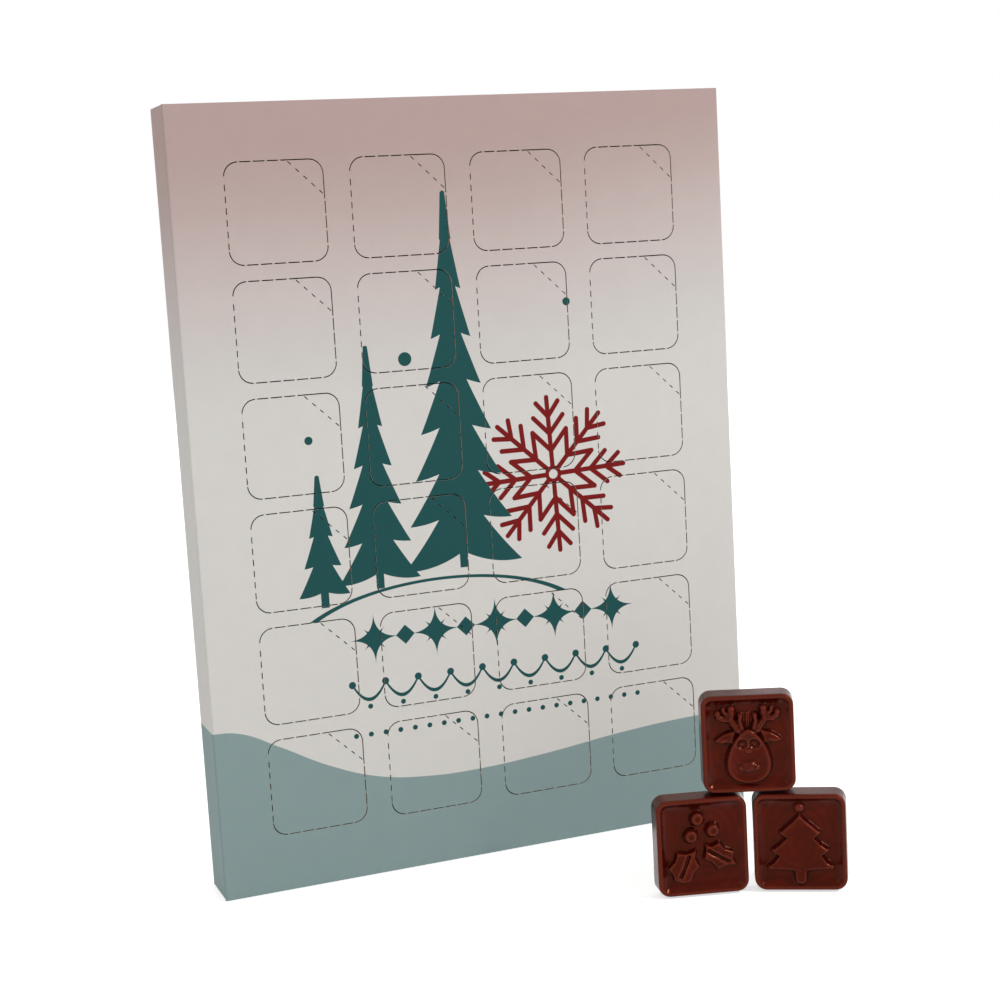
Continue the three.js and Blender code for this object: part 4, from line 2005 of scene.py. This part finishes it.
@dataclass
class ChocolateMould:
    """Makes the chocolates: a bar with a rim round its recessed face, and a figure."""

    finishes: Finishes
    width: float = 32.6
    height: float = 35.2
    thickness: float = 8.0
    corner_radius: float = 4.2
    corner_steps: int = 10
    draft: float = 0.5
    rim: float = 1.05
    recess: float = 2.1
    slope: Points = (
        (0.3, 0.15), (0.45, 0.4), (0.6, 0.5), (0.8, 0.45), (0.9, 0.3), (1.0, 0.2),
        (1.0, 0.1),
    )
    edge_radius: float = 0.8
    edge_steps: int = 5
    back_radius: float = 0.45
    back_steps: int = 2
    voxel: float = 0.23
    smoothing: int = 7
    softness: float = 0.5
    flow_squareness: float = 2.6
    flow_depth: float = 2.0
    bend_width: float = 0.9
    bend_scale: float = 3.0

    @property
    def floor(self) -> float:
        """z of the recessed face."""
        return self.thickness - self.recess

    def bar(self) -> bmesh.types.BMesh:
        """The bar with its recess, before the figure.

        Returns:
            The bar as a bmesh.
        """
        bm = bmesh.new()
        size = (self.width, self.height)
        back, face = Bench.rounded_plate(
            bm,
            size,
            self.corner_radius,
            0.0,
            self.thickness,
            self.draft,
            segments=self.corner_steps,
        )
        for verts, radius, steps in (
            (face, self.edge_radius, self.edge_steps),
            (back, self.back_radius, self.back_steps),
        ):
            Bench.round_edges(bm, Bench.ring(bm, verts), radius, steps)
        top = max(bm.faces, key=lambda item: item.calc_center_median().z)
        rim_rest = self.rim - self.edge_radius
        for inward, deeper in ((rim_rest, 0.0), *self.slope):
            bmesh.ops.inset_region(bm, faces=[top], thickness=inward, depth=-deeper)
        return bm

    def figure(self, motif: Motif) -> Relief:
        """The raised figure of a motif.

        Args:
            motif: the figure.

        Returns:
            The figure's solids and dents.
        """
        figures = {
            Motif.REINDEER: ReindeerHead(),
            Motif.HOLLY: HollySprig(),
            Motif.TREE: FirTree(),
        }
        relief = Relief(self.floor)
        figures[motif].carve(relief)
        return relief

    def cast(self, motif: Motif, voxel: float, ratio: float) -> bpy.types.Object:
        """Fuses the bar and its figure and softens every edge, as moulding does.

        Args:
            motif: the figure.
            voxel: the fineness in millimetres.
            ratio: the share of faces that is kept.

        Returns:
            The chocolate, with its back on z = 0.
        """
        bm = self.bar()
        relief = self.figure(motif)
        part = bpy.data.meshes.new("relief")
        relief.bm.to_mesh(part)
        relief.bm.free()
        bm.from_mesh(part)
        bpy.data.meshes.remove(part)
        piece = Bench.from_bmesh(motif.value, bm, (self.finishes[Slot.CHOCOLATE],))
        fused = piece.modifiers.new("fuse", "REMESH")
        fused.mode = "VOXEL"
        fused.voxel_size = voxel
        soft = piece.modifiers.new("soften", "SMOOTH")
        soft.factor = self.softness
        soft.iterations = self.smoothing
        Bench.apply(piece)
        self.press(piece.data, relief.dents)
        self.mark_flow(piece.data)
        self.mark_bend(piece.data, voxel)
        if ratio < 1:
            fewer = piece.modifiers.new("fewer", "DECIMATE")
            fewer.ratio = ratio
            Bench.apply(piece)
        for polygon in piece.data.polygons:
            polygon.use_smooth = True
        return piece

    def press(self, mesh: bpy.types.Mesh, dents: Sequence[Dent]) -> None:
        """Presses the dents into a chocolate's face.

        Args:
            mesh: the chocolate's mesh.
            dents: the dents.
        """
        places = Bench.coordinates(mesh)
        raised = places[:, 2] > self.floor - self.recess / 2
        places[raised, 2] -= sum(dent.depth_at(places[raised, :2]) for dent in dents)
        mesh.vertices.foreach_set("co", places.ravel())
        mesh.update()

    def mark_flow(self, mesh: bpy.types.Mesh) -> None:
        """Marks how far out each point lies, as the chocolate flowed when it was poured.

        Args:
            mesh: the chocolate's mesh.
        """
        across, up, out = np.abs(Bench.coordinates(mesh).T)
        half = (self.width / 2, self.height / 2)
        power = self.flow_squareness
        rings = ((across / half[0]) ** power + (up / half[1]) ** power) ** (1 / power)
        rings *= np.clip(out / self.flow_depth, 0, 1)
        Bench.mark(mesh, MouldedChocolate.FLOW, rings)

    def mark_bend(self, mesh: bpy.types.Mesh, voxel: float) -> None:
        """Marks how sharply the skin bends at each point: above 0 outwards, below inwards.

        Args:
            mesh: the chocolate's mesh.
            voxel: the mesh's fineness in millimetres.
        """
        places = Bench.coordinates(mesh)
        count = len(places)
        normals = np.empty((count, 3))
        ends = np.empty((len(mesh.edges), 2), dtype=np.int64)
        mesh.vertex_normals.foreach_get("vector", normals.ravel())
        mesh.edges.foreach_get("vertices", ends.ravel())
        start, end = np.concatenate((ends, ends[:, ::-1])).T
        neighbours = np.bincount(start, minlength=count)

        def around(values: np.ndarray) -> np.ndarray:
            """The mean of each point's neighbours."""
            return np.bincount(start, values[end], count) / neighbours

        means = np.stack([around(column) for column in places.T], axis=1)
        bend = ((places - means) * normals).sum(axis=1) / voxel**2
        for _ in range(round(self.bend_width / voxel)):
            bend = (bend + around(bend)) / 2
        # The chocolate's material turns this bend into painted highlights on outward bends
        # and painted shade in hollows.
        Bench.mark(mesh, MouldedChocolate.BEND, bend * self.bend_scale)


@dataclass
class Chocolates:
    """The chocolates in the tray and the three loose ones in front."""

    mould: ChocolateMould
    sizes: CartonSizes = CartonSizes()
    back: float = 0.09
    order: tuple[Motif, ...] = (Motif.REINDEER, Motif.HOLLY, Motif.TREE)
    meeting: Point2 = (61.5, 95.0)
    spacing: float = 1.0
    stack_gap: float = 0.3
    shift_forward: float = 1.0
    turns: dict[Motif, float] = field(
        default_factory=lambda: {
            Motif.HOLLY: -16.0,
            Motif.TREE: -30.0,
            Motif.REINDEER: -24.0,
        }
    )
    tray_voxel: float = 0.3
    tray_ratio: float = 0.25

    def in_tray(self) -> None:
        """Fills the pockets."""
        casts = {
            motif: self.mould.cast(motif, self.tray_voxel, self.tray_ratio)
            for motif in self.order
        }
        for index, window in enumerate(self.sizes.windows()):
            row = index // self.sizes.columns
            motif = self.order[(index + row) % len(self.order)]
            node = f"chocolate_{window.label}"
            piece = Bench.new(f"{node}_{motif.value}", casts[motif].data.copy())
            place = Matrix.Translation((window.x, window.y, self.back))
            finish_piece(piece, ROOT_BODY, (node,), place)
        for cast in casts.values():
            bpy.data.objects.remove(cast)

    def place_loose(self, motif: Motif) -> Matrix:
        """Where a loose chocolate stands.

        Args:
            motif: which one.

        Returns:
            Its place on the bench.
        """
        reach = (self.mould.width + self.spacing) / 2
        pivots = {Motif.HOLLY: reach, Motif.TREE: -reach, Motif.REINDEER: 0.0}
        x, out = self.meeting
        up = 0.0
        if motif is Motif.REINDEER:
            up = self.mould.height + self.stack_gap
            out += self.shift_forward
        turn = Matrix.Rotation(math.radians(self.turns[motif]), 4, UP_AXIS)
        own = (-pivots[motif], self.mould.height / 2, -self.mould.thickness)
        return Matrix.Translation((x, up, out)) @ turn @ Matrix.Translation(own)

    def loose(self) -> None:
        """Stands the three loose chocolates in front of the carton."""
        for motif in self.order:
            piece = self.mould.cast(motif, self.mould.voxel, 1.0)
            node = f"loose_chocolate_{motif.value}"
            piece.name = f"{node}_cast"
            finish_piece(
                piece, ROOT_BODY, (node,), self.place_loose(motif)
            )

    def build(self) -> None:
        """Makes all chocolates."""
        self.in_tray()
        self.loose()


# Studio


@dataclass(frozen=True)
class Lamp:
    """A soft, rectangular lamp, in metres and watts."""

    name: str
    place: Point3
    size: Point2
    power: float


@dataclass
class Studio:
    """White surroundings, soft lamps and the camera, in metres."""

    focal_length: float = 66.33
    sensor: float = 36.0
    clip: Point2 = (0.01, 20.0)
    location: Point3 = (-0.23018, -0.63907, 0.23123)
    ahead: Point3 = (0.35101, 0.92524, -0.14394)
    up: Point3 = (0.1046, 0.11402, 0.98796)
    floor_size: float = 6.0
    floor_gap: float = 0.0003
    floor_white: float = 0.8
    floor_roughness: float = 0.9
    sky: float = 0.5
    floor_glow: float = 0.6
    lamps: tuple[Lamp, ...] = (
        Lamp("key_lamp", (1.3, -1.65, 1.65), (0.3, 0.3), power=32.0),
        Lamp("fill_lamp", (-1.5, -0.9, 0.8), (1.2, 1.2), power=4.5),
        Lamp("top_lamp", (0.1, 0.3, 1.6), (0.9, 0.9), power=2.0),
        Lamp("back_lamp", (0.5, 1.9, 1.0), (0.9, 0.9), power=19.0),
    )
    target: Point3 = (0.0, -0.02, 0.13)

    def camera(self) -> None:
        """The camera, from the left and a little above."""
        data = bpy.data.cameras.new("camera")
        data.lens = self.focal_length
        data.sensor_width = self.sensor
        data.clip_start, data.clip_end = self.clip
        camera = bpy.data.objects.new("camera", data)
        ahead = Vector(self.ahead).normalized()
        right = ahead.cross(Vector(self.up)).normalized()
        up = right.cross(ahead)
        axes = Matrix((right, up, -ahead)).transposed().to_4x4()
        camera.matrix_world = Matrix.Translation(self.location) @ axes
        bpy.context.scene.collection.objects.link(camera)
        bpy.context.scene.camera = camera

    @staticmethod
    def seen_directly(tree: bpy.types.NodeTree) -> Signal:
        """1 for what the camera sees straight, in a mirror or through glass.

        Args:
            tree: the node tree to add to.

        Returns:
            The signal.
        """
        path = tree.nodes.new("ShaderNodeLightPath")
        names = ("Is Camera Ray", "Is Glossy Ray", "Is Transmission Ray")
        camera, glossy, through = (Signal(tree, path.outputs[name]) for name in names)
        return camera.most(glossy).most(through)

    def floor(self) -> None:
        """A white floor that keeps the object's soft shadow."""
        bm = bmesh.new()
        bmesh.ops.create_grid(bm, x_segments=1, y_segments=1, size=self.floor_size / 2)
        mesh = bpy.data.meshes.new("floor")
        bm.to_mesh(mesh)
        bm.free()
        floor = Bench.new("floor", mesh)
        floor.location.z = -self.floor_gap
        sheet = NodeSheet("floor")
        white = (*(self.floor_white,) * 3, 1.0)
        sheet.constant(Base_Color=white, Roughness=self.floor_roughness)
        sheet.constant(Specular_IOR_Level=0.0)
        glow = sheet.tree.nodes.new("ShaderNodeEmission")
        strength = self.seen_directly(sheet.tree) * self.floor_glow
        sheet.link(strength.socket, glow.inputs["Strength"])
        both = sheet.tree.nodes.new("ShaderNodeAddShader")
        sheet.link(sheet.shader.outputs[0], both.inputs[0])
        sheet.link(glow.outputs[0], both.inputs[1])
        output = sheet.tree.nodes["Material Output"]
        sheet.link(both.outputs[0], output.inputs["Surface"])
        mesh.materials.append(sheet.material)

    def world(self) -> None:
        """Even white surroundings, which look plain white to the camera."""
        world = bpy.data.worlds.new("surroundings")
        world.use_nodes = True
        bpy.context.scene.world = world
        tree = world.node_tree
        background = tree.nodes["Background"]
        background.inputs["Color"].default_value = (1.0, 1.0, 1.0, 1.0)
        strength = self.seen_directly(tree) * (1.0 - self.sky) + self.sky
        tree.links.new(strength.socket, background.inputs["Strength"])

    def lights(self) -> None:
        """Large soft lamps."""
        for lamp in self.lamps:
            data = bpy.data.lights.new(lamp.name, "AREA")
            data.shape = "RECTANGLE"
            data.size, data.size_y = lamp.size
            data.energy = lamp.power
            light = bpy.data.objects.new(lamp.name, data)
            light.location = lamp.place
            aim = Vector(self.target) - Vector(lamp.place)
            light.rotation_euler = aim.to_track_quat("-Z", "Y").to_euler()
            bpy.context.scene.collection.objects.link(light)

    def build(self) -> None:
        """Sets up the studio."""
        bpy.context.scene.view_settings.view_transform = "Standard"
        self.world()
        self.lights()
        self.floor()
        self.camera()


def dress_nodes(frame: dict, finishes: Finishes) -> None:
    """Gives the CAD nodes that stay visible their finish.

    Args:
        frame: the loaded frame.
        finishes: the calendar's materials.
    """
    for node, slot in SHOWN_NODES.items():
        materials = frame["nodes"][node].data.materials
        materials.clear()
        materials.append(finishes[slot])
        log.info("%s: CAD node in %s", node, slot.value)


def main() -> None:
    """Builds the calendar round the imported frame."""
    logging.basicConfig(level=logging.INFO, format="%(name)s: %(message)s")
    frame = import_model()
    finishes = Finishes.make()
    dress_nodes(frame, finishes)
    Carton(finishes).build()
    Doors(finishes).build()
    PocketTray(finishes).build()
    Chocolates(ChocolateMould(finishes)).build()
    Studio().build()


if __name__ == "__main__":
    main()
